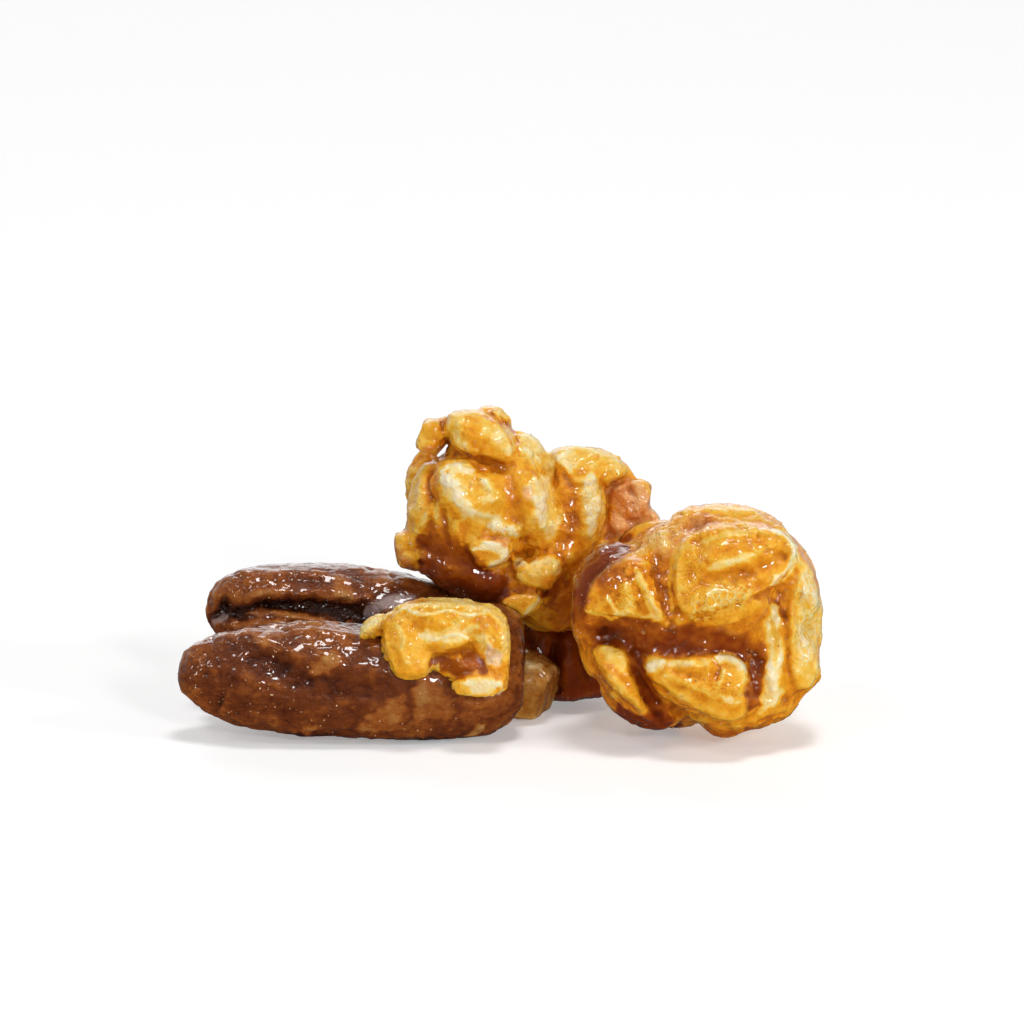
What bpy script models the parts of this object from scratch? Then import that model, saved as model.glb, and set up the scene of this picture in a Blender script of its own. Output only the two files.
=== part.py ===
"""Caramel pecan popcorn: a glazed pecan half and popped kernels, lying together as they stuck.

Each piece is described as it is seen from the front and a little above. In that view across is to the
right, up is up the picture and near is towards the eye, all in millimetres from the piece's centre.
The world is in metres, with +Z up and the origin under the middle of the whole, on the surface.
"""

import math

import bmesh
import bpy
from mathutils import Matrix, Vector, noise

MM = 0.001
VIEW_TILT = math.radians(14)
BASE_CENTRE = (0.15, 0.15)

VOXEL = 0.42 * MM
GAP = 0.3 * MM
NEAR, FAR = 1, -1

PECAN_LENGTH = 35.6
PECAN_LOBE_WIDTH = 11.8
PECAN_LOBE_HEIGHT = 13.0
PECAN_LOBE_SPACING = 12.0
PECAN_BELLY = 5.0
PECAN_ROLL = math.radians(16)
PECAN_NOD = math.radians(4.2)
PECAN_BACK_NOD = math.radians(4.5)
PECAN_LEFT_END = 2.2
PECAN_RIGHT_END = 3.0
PECAN_TAPER = 0.01
PECAN_CENTRE = (-15.2, 0.5, 7.2)
PECAN_STROKES = {
    "main_groove": (NEAR, ((-15.0, 2.2), (-11.0, 3.0), (-6.0, 3.2), (-1.0, 2.6), (4.0, 1.6), (9.0, 0.6)), 1.0, -1.7),
    "second_groove": (NEAR, ((-12.4, -1.0), (-7.9, -2.4), (-5.3, -4.0), (-1.4, -4.8), (4.0, -5.6)), 1.5, -0.9),
    "crest": (NEAR, ((-12.0, 0.6), (-7.4, 0.2), (-1.4, -1.6), (4.0, -2.6)), 1.4, 0.3),
    "back_groove": (FAR, ((-11.0, 4.0), (-4.0, 2.6), (4.0, 1.6), (10.0, 0.2)), 1.5, -0.7),
    "left_dent": (NEAR, ((-15.2, -3.4), (-14.2, -5.0), (-12.4, -6.0)), 1.3, -0.4),
}

MUSHROOM_CENTRE = (20.2, 10.9, 6.8)
MUSHROOM_LOBES = {
    "core": ((-0.2, 0.0, 0.0), (10.8, 10.4, 10.6), 0),
    "upper_petal": ((3.2, 5.3, 7.2), (6.6, 4.3, 3.9), 14),
    "cap": ((3.0, 8.8, 3.2), (6.0, 2.7, 5.2), -4),
    "cap_left_slope": ((-3.0, 6.7, 4.4), (4.5, 2.9, 4.4), 32),
    "left_petal": ((-6.6, 2.9, 6.4), (4.7, 3.8, 3.2), 38),
    "middle_petal": ((2.4, 1.2, 8.6), (4.8, 2.5, 2.9), 6),
    "lower_petal": ((0.4, -6.4, 6.9), (6.6, 3.7, 3.8), -20),
    "lower_left_lobe": ((-7.8, -5.8, 4.8), (2.4, 4.7, 3.4), 38),
    "right_upper_lobe": ((8.8, 2.8, 1.0), (3.2, 5.3, 5.4), 10),
    "right_lower_lobe": ((9.3, -5.2, 1.6), (3.2, 4.0, 4.8), -20),
    "bottom_lobe": ((4.6, -9.2, 1.6), (5.8, 2.7, 5.4), 6),
    "dark_dome": ((-9.2, 2.2, 2.4), (3.6, 5.8, 5.6), -20),
    "left_flap": ((-10.4, -3.8, 2.2), (2.0, 2.9, 3.2), 10),
    "bottom_left_lobe": ((-6.0, -8.6, 1.4), (3.7, 3.0, 4.4), 20),
    "drip": ((2.6, -10.8, 2.2), (2.2, 1.8, 2.2), 0),
    "right_bump": ((11.5, 0.4, 0.0), (1.5, 2.2, 2.4), 0),
    "right_low_bump": ((11.4, -6.0, 0.0), (1.4, 1.5, 1.8), 0),
    "back_upper_petal": ((-2.6, 5.2, -7.0), (6.2, 4.8, 4.0), -18),
    "back_lower_petal": ((3.4, -4.2, -7.2), (6.4, 4.6, 4.0), 24),
    "back_left_petal": ((-7.2, -2.4, -5.4), (3.8, 5.2, 4.4), 8),
    "back_right_petal": ((7.2, 3.8, -6.0), (3.8, 4.8, 3.8), -12),
    "back_foot": ((-2.4, -9.0, -3.4), (4.6, 2.8, 4.4), 0),
}
MUSHROOM_STROKES = {
    "belt": (NEAR, ((-11.6, -1.0), (-8.6, -1.8), (-5.8, -2.5), (-2.3, -2.1), (0.6, -2.3), (3.4, -2.7), (5.7, -3.6)), 1.1, -1.3),
    "belt_tail": (NEAR, ((5.7, -3.6), (5.7, -6.3), (5.2, -8.4)), 1.0, -1.0),
    "belt_fork": (NEAR, ((-6.7, -2.7), (-6.2, -4.5), (-5.8, -6.3), (-4.5, -8.7), (-3.8, -10.4)), 0.8, -0.9),
    "left_cleft": (NEAR, ((-4.2, 7.2), (-4.2, 4.1), (-3.2, 1.9), (-2.6, -1.2)), 0.8, -1.1),
    "cap_seam": (NEAR, ((5.0, 10.2), (1.7, 10.0), (-0.1, 9.6), (-2.1, 8.7), (-3.3, 6.9)), 0.7, -0.8),
    "petal_trough": (NEAR, ((-0.1, 4.3), (2.4, 4.3), (5.2, 4.8), (7.6, 6.1), (8.3, 7.0)), 0.8, -0.6),
    "fan_rim": (NEAR, ((7.4, 8.9), (9.4, 7.8), (9.6, 6.1), (8.3, 4.1), (6.6, 3.0)), 0.7, 0.7),
    "side_crack": (NEAR, ((7.0, 2.3), (8.1, 1.0), (8.8, -0.7), (8.9, -3.2), (8.9, -6.0)), 0.7, -1.0),
    "pale_ridge": (NEAR, ((7.6, 1.0), (7.4, -1.4), (7.7, -3.6), (7.2, -6.3), (7.4, -8.0), (6.3, -9.8)), 0.8, 1.0),
    "lower_rim": (NEAR, ((-5.4, -4.6), (-3.8, -4.0), (-1.2, -4.1), (2.1, -3.6), (4.3, -4.6)), 0.7, 0.6),
    "back_belt": (FAR, ((-9.0, 1.0), (-4.0, 0.4), (0.0, -0.8), (5.0, 0.2), (9.0, -1.0)), 1.1, -1.2),
    "back_cleft": (FAR, ((1.6, 9.0), (2.2, 4.0), (0.6, -0.8), (-1.8, -6.0)), 0.9, -1.0),
}

BUTTERFLY_CENTRE = (-2.05, 22.3, -1.7)
BUTTERFLY_LOBES = {
    "main_body": ((-0.2, -0.9, 0.0), (7.0, 7.2, 7.2), 0),
    "crown_petal": ((0.0, 7.1, 3.4), (3.9, 2.5, 3.4), -28),
    "crown_back": ((-0.8, 7.3, 0.2), (3.9, 2.4, 4.0), 10),
    "left_ear": ((-4.7, 6.9, 1.8), (1.8, 1.9, 2.6), 20),
    "top_ridge": ((1.5, 8.8, 1.6), (1.9, 1.4, 2.8), -30),
    "right_shoulder": ((4.8, 0.8, 2.0), (2.7, 7.2, 4.6), 22),
    "left_flap": ((-5.7, -0.4, 0.6), (1.9, 4.8, 4.4), -6),
    "left_corner": ((-7.3, -4.6, 0.4), (1.8, 1.9, 2.8), 20),
    "dark_belly": ((-1.6, -6.6, 1.0), (6.2, 3.1, 5.4), -10),
    "pale_centre": ((-1.0, 1.2, 5.2), (4.4, 3.4, 2.6), -30),
    "small_tube": ((1.2, -4.8, 5.4), (2.1, 1.6, 2.0), 0),
    "low_petal": ((5.9, -7.1, 3.4), (2.7, 2.0, 2.8), 20),
    "low_petal_lip": ((4.3, -10.1, 3.4), (2.7, 1.6, 2.4), 24),
    "neck": ((8.2, -4.6, -0.2), (3.7, 5.4, 4.4), -6),
    "second_lobe": ((11.2, 3.2, -1.2), (4.3, 2.7, 4.2), -10),
    "second_ridge": ((11.2, -0.6, 1.4), (1.9, 4.2, 3.2), -4),
    "hull_lobe": ((15.3, -0.2, -2.2), (2.4, 2.8, 3.2), 0),
    "hull_tip": ((16.9, -1.6, -2.8), (2.0, 1.6, 2.6), -30),
    "hull_base": ((13.2, -3.2, -1.6), (3.6, 3.0, 3.2), 0),
    "low_neck": ((8.0, -9.4, -0.6), (4.2, 3.9, 4.0), 0),
    "back_left_lobe": ((-3.4, 1.6, -5.0), (4.4, 5.0, 3.8), 15),
    "back_right_lobe": ((3.6, 2.8, -5.0), (4.4, 4.2, 3.8), -20),
    "back_low_lobe": ((0.6, -5.0, -4.8), (5.2, 3.4, 3.8), 5),
    "back_wing": ((10.6, -1.2, -4.4), (3.8, 4.4, 3.2), 10),
}
BUTTERFLY_STROKES = {
    "crown_shadow": (NEAR, ((-3.4, 5.6), (-1.4, 4.6), (0.8, 4.4), (3.0, 3.8), (4.0, 4.6)), 0.8, -1.0),
    "ear_slit": (NEAR, ((-3.0, 6.6), (-3.8, 5.4), (-4.8, 4.2)), 0.6, -1.3),
    "crown_cleft": (NEAR, ((-3.4, 9.0), (-3.4, 7.4), (-2.8, 6.4)), 0.6, -0.6),
    "ridge_seam": (NEAR, ((0.4, 9.8), (1.6, 8.8), (3.2, 7.6), (3.9, 5.6)), 0.6, -0.7),
    "centre_stripe": (NEAR, ((1.8, 3.6), (3.2, 2.4), (3.6, 0.4), (2.8, -1.6)), 0.9, -0.7),
    "white_crest": (NEAR, ((-3.9, 3.2), (-3.0, 1.6), (-1.8, 0.2), (-0.2, -0.9)), 0.9, 0.6),
    "shoulder_crest": (NEAR, ((4.9, 3.0), (5.7, 0.8), (5.5, -2.0), (4.6, -4.0)), 0.8, 0.5),
    "neck_valley": (NEAR, ((7.0, 5.0), (8.4, 2.6), (9.0, 0.0), (8.8, -3.0), (8.2, -5.6)), 1.0, -1.3),
    "hull_seam": (NEAR, ((13.8, 2.4), (13.2, 0.6), (13.2, -2.0), (14.0, -4.0)), 0.7, -0.9),
    "flap_groove": (NEAR, ((-4.6, 4.0), (-4.4, 1.2), (-4.2, -1.6), (-4.8, -4.2)), 0.8, -0.8),
    "corner_groove": (NEAR, ((-6.6, -3.0), (-6.0, -4.4), (-6.0, -6.4)), 0.6, -0.8),
    "belly_line": (NEAR, ((-4.4, -4.2), (-1.8, -5.8), (0.6, -6.8), (3.2, -6.2)), 0.7, -0.7),
    "petal_gap": (NEAR, ((3.2, -8.4), (5.0, -8.9), (7.0, -9.0)), 0.6, -0.9),
    "back_cleft": (FAR, ((-6.0, 5.0), (-2.0, 3.0), (0.8, -0.6), (4.4, -4.0)), 1.0, -1.1),
    "back_neck": (FAR, ((6.6, 5.0), (7.4, 1.0), (7.0, -3.0)), 1.0, -1.1),
}

DARK_CENTRE = (6.6, 7.3, -7.1)
DARK_LOBES = {
    "core": ((0.0, 0.0, 0.0), (5.8, 5.5, 5.5), 0),
    "left_lobe": ((-3.4, -0.8, 1.4), (3.2, 3.9, 3.6), 10),
    "right_lobe": ((3.6, -1.2, 0.8), (3.0, 3.9, 3.8), -12),
    "front_lobe": ((0.6, -2.4, 2.6), (3.2, 2.9, 3.0), 0),
    "back_lobe": ((0.4, 0.2, -3.2), (4.2, 4.0, 3.2), 0),
}
DARK_STROKES = {
    "fold": (NEAR, ((-0.6, 4.0), (-1.2, 0.0), (-0.8, -5.0)), 0.8, -0.9),
    "back_fold": (FAR, ((1.0, 4.0), (0.4, 0.0), (-0.6, -4.0)), 0.9, -0.9),
}

PIECE_CENTRE = (3.2, 3.6, -0.4)
PIECE_LOBES = {
    "core": ((-0.2, 0.2, 0.0), (3.7, 3.3, 3.6), -30),
    "right_edge": ((1.4, 0.2, 0.6), (1.7, 2.3, 2.4), -30),
    "foot": ((-0.4, -2.0, 0.8), (2.7, 1.8, 2.6), 6),
}

CRUMB_CENTRE = (-5.1, 7.9, 11.0)
CRUMB_LOBES = {
    "slab": ((-0.5, 2.0, -0.9), (6.2, 3.0, 3.2), -3),
    "top": ((0.0, 3.0, -2.6), (5.4, 1.9, 3.4), -3),
    "right_shoulder": ((4.2, 0.6, -0.2), (2.2, 3.7, 2.8), 8),
    "left_body": ((-4.4, -0.2, 0.0), (2.6, 3.2, 2.4), 6),
    "left_foot": ((-3.7, -1.9, 0.6), (2.0, 1.5, 1.8), 0),
    "right_stem": ((4.6, -2.4, 0.7), (1.5, 2.4, 2.0), 6),
    "middle_stem": ((2.6, -1.5, 0.6), (2.3, 1.7, 1.9), 0),
    "right_foot": ((3.0, -3.8, 1.2), (2.8, 1.4, 1.8), 6),
    "tail_flake": ((-7.8, 1.9, -0.8), (2.0, 1.0, 1.9), 40),
}
CRUMB_STROKES = {
    "hollow": (NEAR, ((-4.4, 2.4), (-1.6, 1.6), (1.4, 2.0), (3.4, 0.4)), 1.0, -0.5),
    "stem_groove": (NEAR, ((2.6, -0.6), (4.6, -2.4)), 0.7, -0.5),
}


def seen(across, up, near):
    """The world point that lies this far across, up the picture and towards the eye, in metres."""
    return MM * Vector((
        across,
        up * math.sin(VIEW_TILT) - near * math.cos(VIEW_TILT),
        up * math.cos(VIEW_TILT) + near * math.sin(VIEW_TILT),
    ))


def view_frame(centre):
    """The matrix from a piece's view millimetres to the world."""
    axes = Matrix((seen(1, 0, 0), seen(0, 1, 0), seen(0, 0, 1))).transposed().to_4x4()
    return Matrix.Translation(seen(*centre)) @ axes


def clear_scene():
    for obj in list(bpy.data.objects):
        bpy.data.objects.remove(obj)


def food_material(name, colour, roughness):
    material = bpy.data.materials.new(name)
    material.use_nodes = True
    shader = material.node_tree.nodes["Principled BSDF"]
    shader.inputs["Base Color"].default_value = (*colour, 1)
    shader.inputs["Roughness"].default_value = roughness
    shader.inputs["Metallic"].default_value = 0.0
    material.diffuse_color = (*colour, 1)
    return material


def new_object(name, shape, material):
    """An object that holds this bmesh, whose points are in the world's metres."""
    mesh = bpy.data.meshes.new(name)
    shape.to_mesh(mesh)
    shape.free()
    obj = bpy.data.objects.new(name, mesh)
    mesh.materials.append(material)
    bpy.context.scene.collection.objects.link(obj)
    return obj


def apply_modifiers(obj):
    """Keeps the modified shape as the object's own mesh."""
    graph = bpy.context.evaluated_depsgraph_get()
    made = bpy.data.meshes.new_from_object(obj.evaluated_get(graph))
    obj.modifiers.clear()
    old = obj.data
    obj.data = made
    made.name = obj.name
    bpy.data.meshes.remove(old)


def add_lobe(shape, frame, centre, radii, turn):
    """An ellipsoid of these three half sizes, turned in the picture by so many degrees."""
    place = (
        frame
        @ Matrix.Translation(centre)
        @ Matrix.Rotation(math.radians(turn), 4, "Z")
        @ Matrix.Diagonal((*radii, 1))
    )
    bmesh.ops.create_icosphere(shape, subdivisions=4, radius=1, matrix=place)


def fuse(obj, smoothing):
    """Makes the overlapping lobes one skin and softens the creases between them."""
    remesh = obj.modifiers.new("Fuse", "REMESH")
    remesh.mode = "VOXEL"
    remesh.voxel_size = VOXEL
    soften = obj.modifiers.new("Soften", "SMOOTH")
    soften.factor = 0.5
    soften.iterations = smoothing
    apply_modifiers(obj)


def distance_to_path(spot, path):
    """How far a point of the picture lies from a line of points."""
    best = math.inf
    for start, end in zip(path, path[1:]):
        along = end - start
        share = min(max((spot - start).dot(along) / along.length_squared, 0), 1)
        best = min(best, (spot - start - share * along).length)
    return best


def press_strokes(obj, centre, strokes):
    """Raises ridges and sinks grooves along lines drawn on the near or the far side of a piece."""
    frame = view_frame(centre)
    to_view = frame.inverted()
    eye = frame.to_3x3() @ Vector((0, 0, 1))
    eye.normalize()
    mesh = obj.data
    moves = []
    for vertex in mesh.vertices:
        spot = (to_view @ vertex.co).to_2d()
        facing = vertex.normal.dot(eye)
        height = 0.0
        for side, points, width, rise in strokes.values():
            if side * facing > 0:
                apart = distance_to_path(spot, [Vector(p) for p in points])
                height += rise * math.exp(-((apart / width) ** 2)) * min(1, 2 * side * facing)
        moves.append(height * MM * vertex.normal)
    for vertex, move in zip(mesh.vertices, moves):
        vertex.co += move
    mesh.update()


def crinkle(obj, size, depth, stretch=(1, 1, 1)):
    """Moves the skin in and out by a noise of this size and depth, in millimetres."""
    mesh = obj.data
    normals = [v.normal.copy() for v in mesh.vertices]
    for vertex, normal in zip(mesh.vertices, normals):
        spot = Vector(a * b for a, b in zip(vertex.co / (size * MM), stretch))
        vertex.co += depth * MM * noise.fractal(spot, 1.0, 2.0, 2) * normal
    mesh.update()


def thin_out(obj, triangles):
    """Leaves about this many triangles."""
    obj.data.calc_loop_triangles()
    reduce = obj.modifiers.new("Reduce", "DECIMATE")
    reduce.ratio = min(1.0, triangles / len(obj.data.loop_triangles))
    reduce.use_collapse_triangulate = True
    apply_modifiers(obj)


def helper(name, mesh):
    """A wire object that only cuts and is no part of the food."""
    obj = bpy.data.objects.new(name, mesh)
    bpy.context.scene.collection.objects.link(obj)
    obj.hide_render = True
    obj.display_type = "WIRE"
    return obj


def cut(obj, cutter):
    """Takes the cutter away from the piece for good."""
    boolean = obj.modifiers.new("Cut", "BOOLEAN")
    boolean.operation = "DIFFERENCE"
    boolean.solver = "EXACT"
    boolean.use_self = True
    boolean.object = cutter
    apply_modifiers(obj)
    bpy.data.objects.remove(cutter)


def stand_on_floor(obj):
    """Cuts the flat spot that the piece rests on, at height zero."""
    slab = bmesh.new()
    size = Matrix.Diagonal((200 * MM, 200 * MM, 20 * MM, 1))
    bmesh.ops.create_cube(slab, size=1, matrix=Matrix.Translation((0, 0, -10 * MM)) @ size)
    mesh = bpy.data.meshes.new("floor_slab")
    slab.to_mesh(mesh)
    slab.free()
    cut(obj, helper("floor_slab", mesh))


def keep_clear(obj, neighbour):
    """Cuts the neighbour's form out of the piece with a small gap, where the two press together."""
    swollen = helper("swollen_" + neighbour.name, neighbour.data.copy())
    swell = swollen.modifiers.new("Swell", "DISPLACE")
    swell.strength = GAP
    swell.mid_level = 0
    apply_modifiers(swollen)
    cut(obj, swollen)


def connected(start):
    """The faces that can be reached from this one across shared edges."""
    found, waiting = {start}, [start]
    while waiting:
        for edge in waiting.pop().edges:
            for face in edge.link_faces:
                if face not in found:
                    found.add(face)
                    waiting.append(face)
    return found


def drop_chips(obj):
    """Leaves only the largest body, where cutting has split small chips off."""
    shape = bmesh.new()
    shape.from_mesh(obj.data)
    left, bodies = set(shape.faces), []
    while left:
        bodies.append(connected(next(iter(left))))
        left -= bodies[-1]
    largest = max(bodies, key=len)
    bmesh.ops.delete(shape, geom=[f for f in shape.faces if f not in largest], context="FACES")
    bmesh.ops.triangulate(shape, faces=shape.faces)
    shape.to_mesh(obj.data)
    shape.free()


def popped_kernel(name, centre, lobes, strokes, material, triangles, smoothing=3):
    """A popped kernel: lobes fused to one puffed skin, with ridges and grooves pressed into it."""
    frame = view_frame(centre)
    shape = bmesh.new()
    for place, radii, turn in lobes.values():
        add_lobe(shape, frame, place, radii, turn)
    obj = new_object(name, shape, material)
    fuse(obj, smoothing)
    press_strokes(obj, centre, strokes)
    crinkle(obj, 2.6, 0.3)
    fuse(obj, 1)
    thin_out(obj, triangles)
    return obj


def add_pecan_lobe(shape, frame, centre, half_sizes):
    """One long lobe with a narrow left end and a blunt right end."""
    for vertex in bmesh.ops.create_icosphere(shape, subdivisions=5, radius=1)["verts"]:
        along, across, out = vertex.co
        power = PECAN_RIGHT_END if along > 0 else PECAN_LEFT_END
        blunt = max(1 - abs(along) ** power, 0) ** (1 / power)
        size = blunt / math.sqrt(max(1 - along**2, 1e-9)) * (1 - PECAN_TAPER * along)
        place = (half_sizes[0] * along, half_sizes[1] * across * size, half_sizes[2] * out * size)
        vertex.co = frame @ (Vector(centre) + Vector(place))


def make_pecan(material, triangles):
    """Two long lobes side by side, joined low between them and flat below."""
    frame = (
        Matrix.Translation(MM * Vector(PECAN_CENTRE))
        @ Matrix.Rotation(PECAN_ROLL, 4, "X")
        @ Matrix.Rotation(PECAN_NOD, 4, "Y")
        @ Matrix.Scale(MM, 4)
    )
    half = (PECAN_LENGTH / 2, PECAN_LOBE_WIDTH / 2, PECAN_LOBE_HEIGHT / 2)
    side = PECAN_LOBE_SPACING / 2
    shape = bmesh.new()
    add_pecan_lobe(shape, frame, (0, -side, 0), half)
    back = frame @ Matrix.Rotation(PECAN_BACK_NOD, 4, "Y")
    add_pecan_lobe(shape, back, (1.0, side, -0.4), (0.91 * half[0], half[1], half[2]))
    add_pecan_lobe(shape, frame, (0.8, 0, -1.6), (0.86 * half[0], 0.9 * side, 0.5 * half[2]))
    for vertex in shape.verts:
        local = frame.inverted() @ vertex.co
        local.z = max(local.z, -PECAN_BELLY)
        vertex.co = frame @ local
    obj = new_object("pecan_half", shape, material)
    fuse(obj, 5)
    press_strokes(obj, (PECAN_CENTRE[0], 8.55, 0), PECAN_STROKES)
    crinkle(obj, 4.0, 0.4, (0.4, 1, 1))
    fuse(obj, 1)
    thin_out(obj, triangles)
    return obj


def shift_to_origin(objects):
    """Puts the middle of the base at the origin."""
    for obj in objects:
        obj.data.transform(Matrix.Translation(-MM * Vector((*BASE_CENTRE, 0))))


def main():
    clear_scene()
    nut_skin = food_material("pecan_skin", (0.21, 0.065, 0.025), 0.3)
    nut_meat = food_material("pecan_meat", (0.36, 0.2, 0.06), 0.3)
    glazed_corn = food_material("glazed_popcorn", (0.8, 0.42, 0.08), 0.3)
    dark_caramel = food_material("dark_caramel", (0.2, 0.04, 0.008), 0.25)
    pecan = make_pecan(nut_skin, 2000)
    mushroom = popped_kernel(
        "popcorn_mushroom", MUSHROOM_CENTRE, MUSHROOM_LOBES, MUSHROOM_STROKES, glazed_corn, 2900)
    butterfly = popped_kernel(
        "popcorn_butterfly", BUTTERFLY_CENTRE, BUTTERFLY_LOBES, BUTTERFLY_STROKES, glazed_corn, 2900)
    dark = popped_kernel("popcorn_dark", DARK_CENTRE, DARK_LOBES, DARK_STROKES, dark_caramel, 700)
    piece = popped_kernel("pecan_piece", PIECE_CENTRE, PIECE_LOBES, {}, nut_meat, 400, 8)
    crumb = popped_kernel("popcorn_crumb", CRUMB_CENTRE, CRUMB_LOBES, CRUMB_STROKES, glazed_corn, 900)
    for standing in (pecan, mushroom, dark, piece):
        stand_on_floor(standing)
    for obj, neighbour in (
        (crumb, pecan),
        (butterfly, pecan),
        (butterfly, mushroom),
        (dark, pecan),
        (dark, mushroom),
        (dark, butterfly),
        (piece, pecan),
        (piece, dark),
    ):
        keep_clear(obj, neighbour)
    pieces = [pecan, mushroom, butterfly, dark, piece, crumb]
    shift_to_origin(pieces)
    for obj in pieces:
        drop_chips(obj)
        obj.data.shade_smooth()


main()
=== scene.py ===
import math

import bpy
import numpy as np
from mathutils import Matrix, Vector


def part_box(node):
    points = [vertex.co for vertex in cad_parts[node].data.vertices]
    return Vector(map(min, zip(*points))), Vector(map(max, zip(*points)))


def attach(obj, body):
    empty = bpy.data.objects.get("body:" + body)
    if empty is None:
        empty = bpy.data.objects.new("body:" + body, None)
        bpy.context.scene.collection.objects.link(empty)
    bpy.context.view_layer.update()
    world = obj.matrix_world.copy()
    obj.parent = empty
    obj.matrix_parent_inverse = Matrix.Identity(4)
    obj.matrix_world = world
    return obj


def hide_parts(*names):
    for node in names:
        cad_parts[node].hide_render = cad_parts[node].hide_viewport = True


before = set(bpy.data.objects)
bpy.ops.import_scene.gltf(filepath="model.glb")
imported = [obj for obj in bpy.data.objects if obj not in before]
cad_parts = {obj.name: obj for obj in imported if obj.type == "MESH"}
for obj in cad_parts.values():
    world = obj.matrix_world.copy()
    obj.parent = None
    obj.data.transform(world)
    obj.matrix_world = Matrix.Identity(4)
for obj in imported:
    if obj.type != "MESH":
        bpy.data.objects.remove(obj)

# Each piece is described as it is seen in the picture: across to the right, up the picture and near
# towards the eye, in millimetres from the piece's centre.
#   lobes    centre, radii, turn in degrees and, where it is boxy, the power of its roundness
#   facets   the way a flat side faces, and how far out it lies
#   patches  outline of a petal, how far it is lifted, and the height of its rim
#   strokes  points of a rib or groove, its half width, and its height or depth
#   slits    points of a cut that goes right through, and its half width
#   others   painted values: points, half width, value and strength, each over the ones before

MM = 0.001
VIEW_TILT = math.radians(14)
BASE_CENTRE = (0.15, 0.15)
STEP = 0.2
BAND = 1.7
OUTSIDE = 3.0
CLEARANCE = 0.04
BOX_ROUNDING = 0.7
CHIP_HEIGHT = 0.2
CREASE_HEIGHT = 0.16
PLAIN_GRAINS = 0.12
PAINT_SEED = 90
NUT_SEED = 5

GRAIN_DENSITY = 4000000.0
GRAIN_SIZES = (0.05, 0.22)
BUBBLE_DENSITY = 6000000.0
BUBBLE_SIZES = (0.1, 0.28)

PHOTO_SIZE = 1024
PHOTO_SCALE = 9.75
PHOTO_ORIGIN = (500.0, 722.0)
CAMERA_AWAY = 1000.0
SENSOR = 36.0

LIGHT_TARGET = (0, 0, 0.01)
LIGHTS = {
    "top_softbox": ((0.1, -0.1, 1.0), 0.28, 3.9),
    "back_panel": ((-0.08, 1.0, 0.45), 0.8, 2.0),
    "back_light": ((-0.26, 0.67, 0.72), 0.15, 0.6),
    "left_light": ((-1.0, -0.45, 0.5), 0.2, 2.1),
    "right_light": ((1.0, -0.4, 0.5), 0.22, 3.6),
    "front_right_light": ((0.4, -1.0, 0.45), 0.18, 3.5),
    "high_left_light": ((-0.4, -0.48, 0.8), 0.16, 0.8),
}
FLOOR_REACH = 3
FLOOR_HEIGHT = -0.0001

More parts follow.
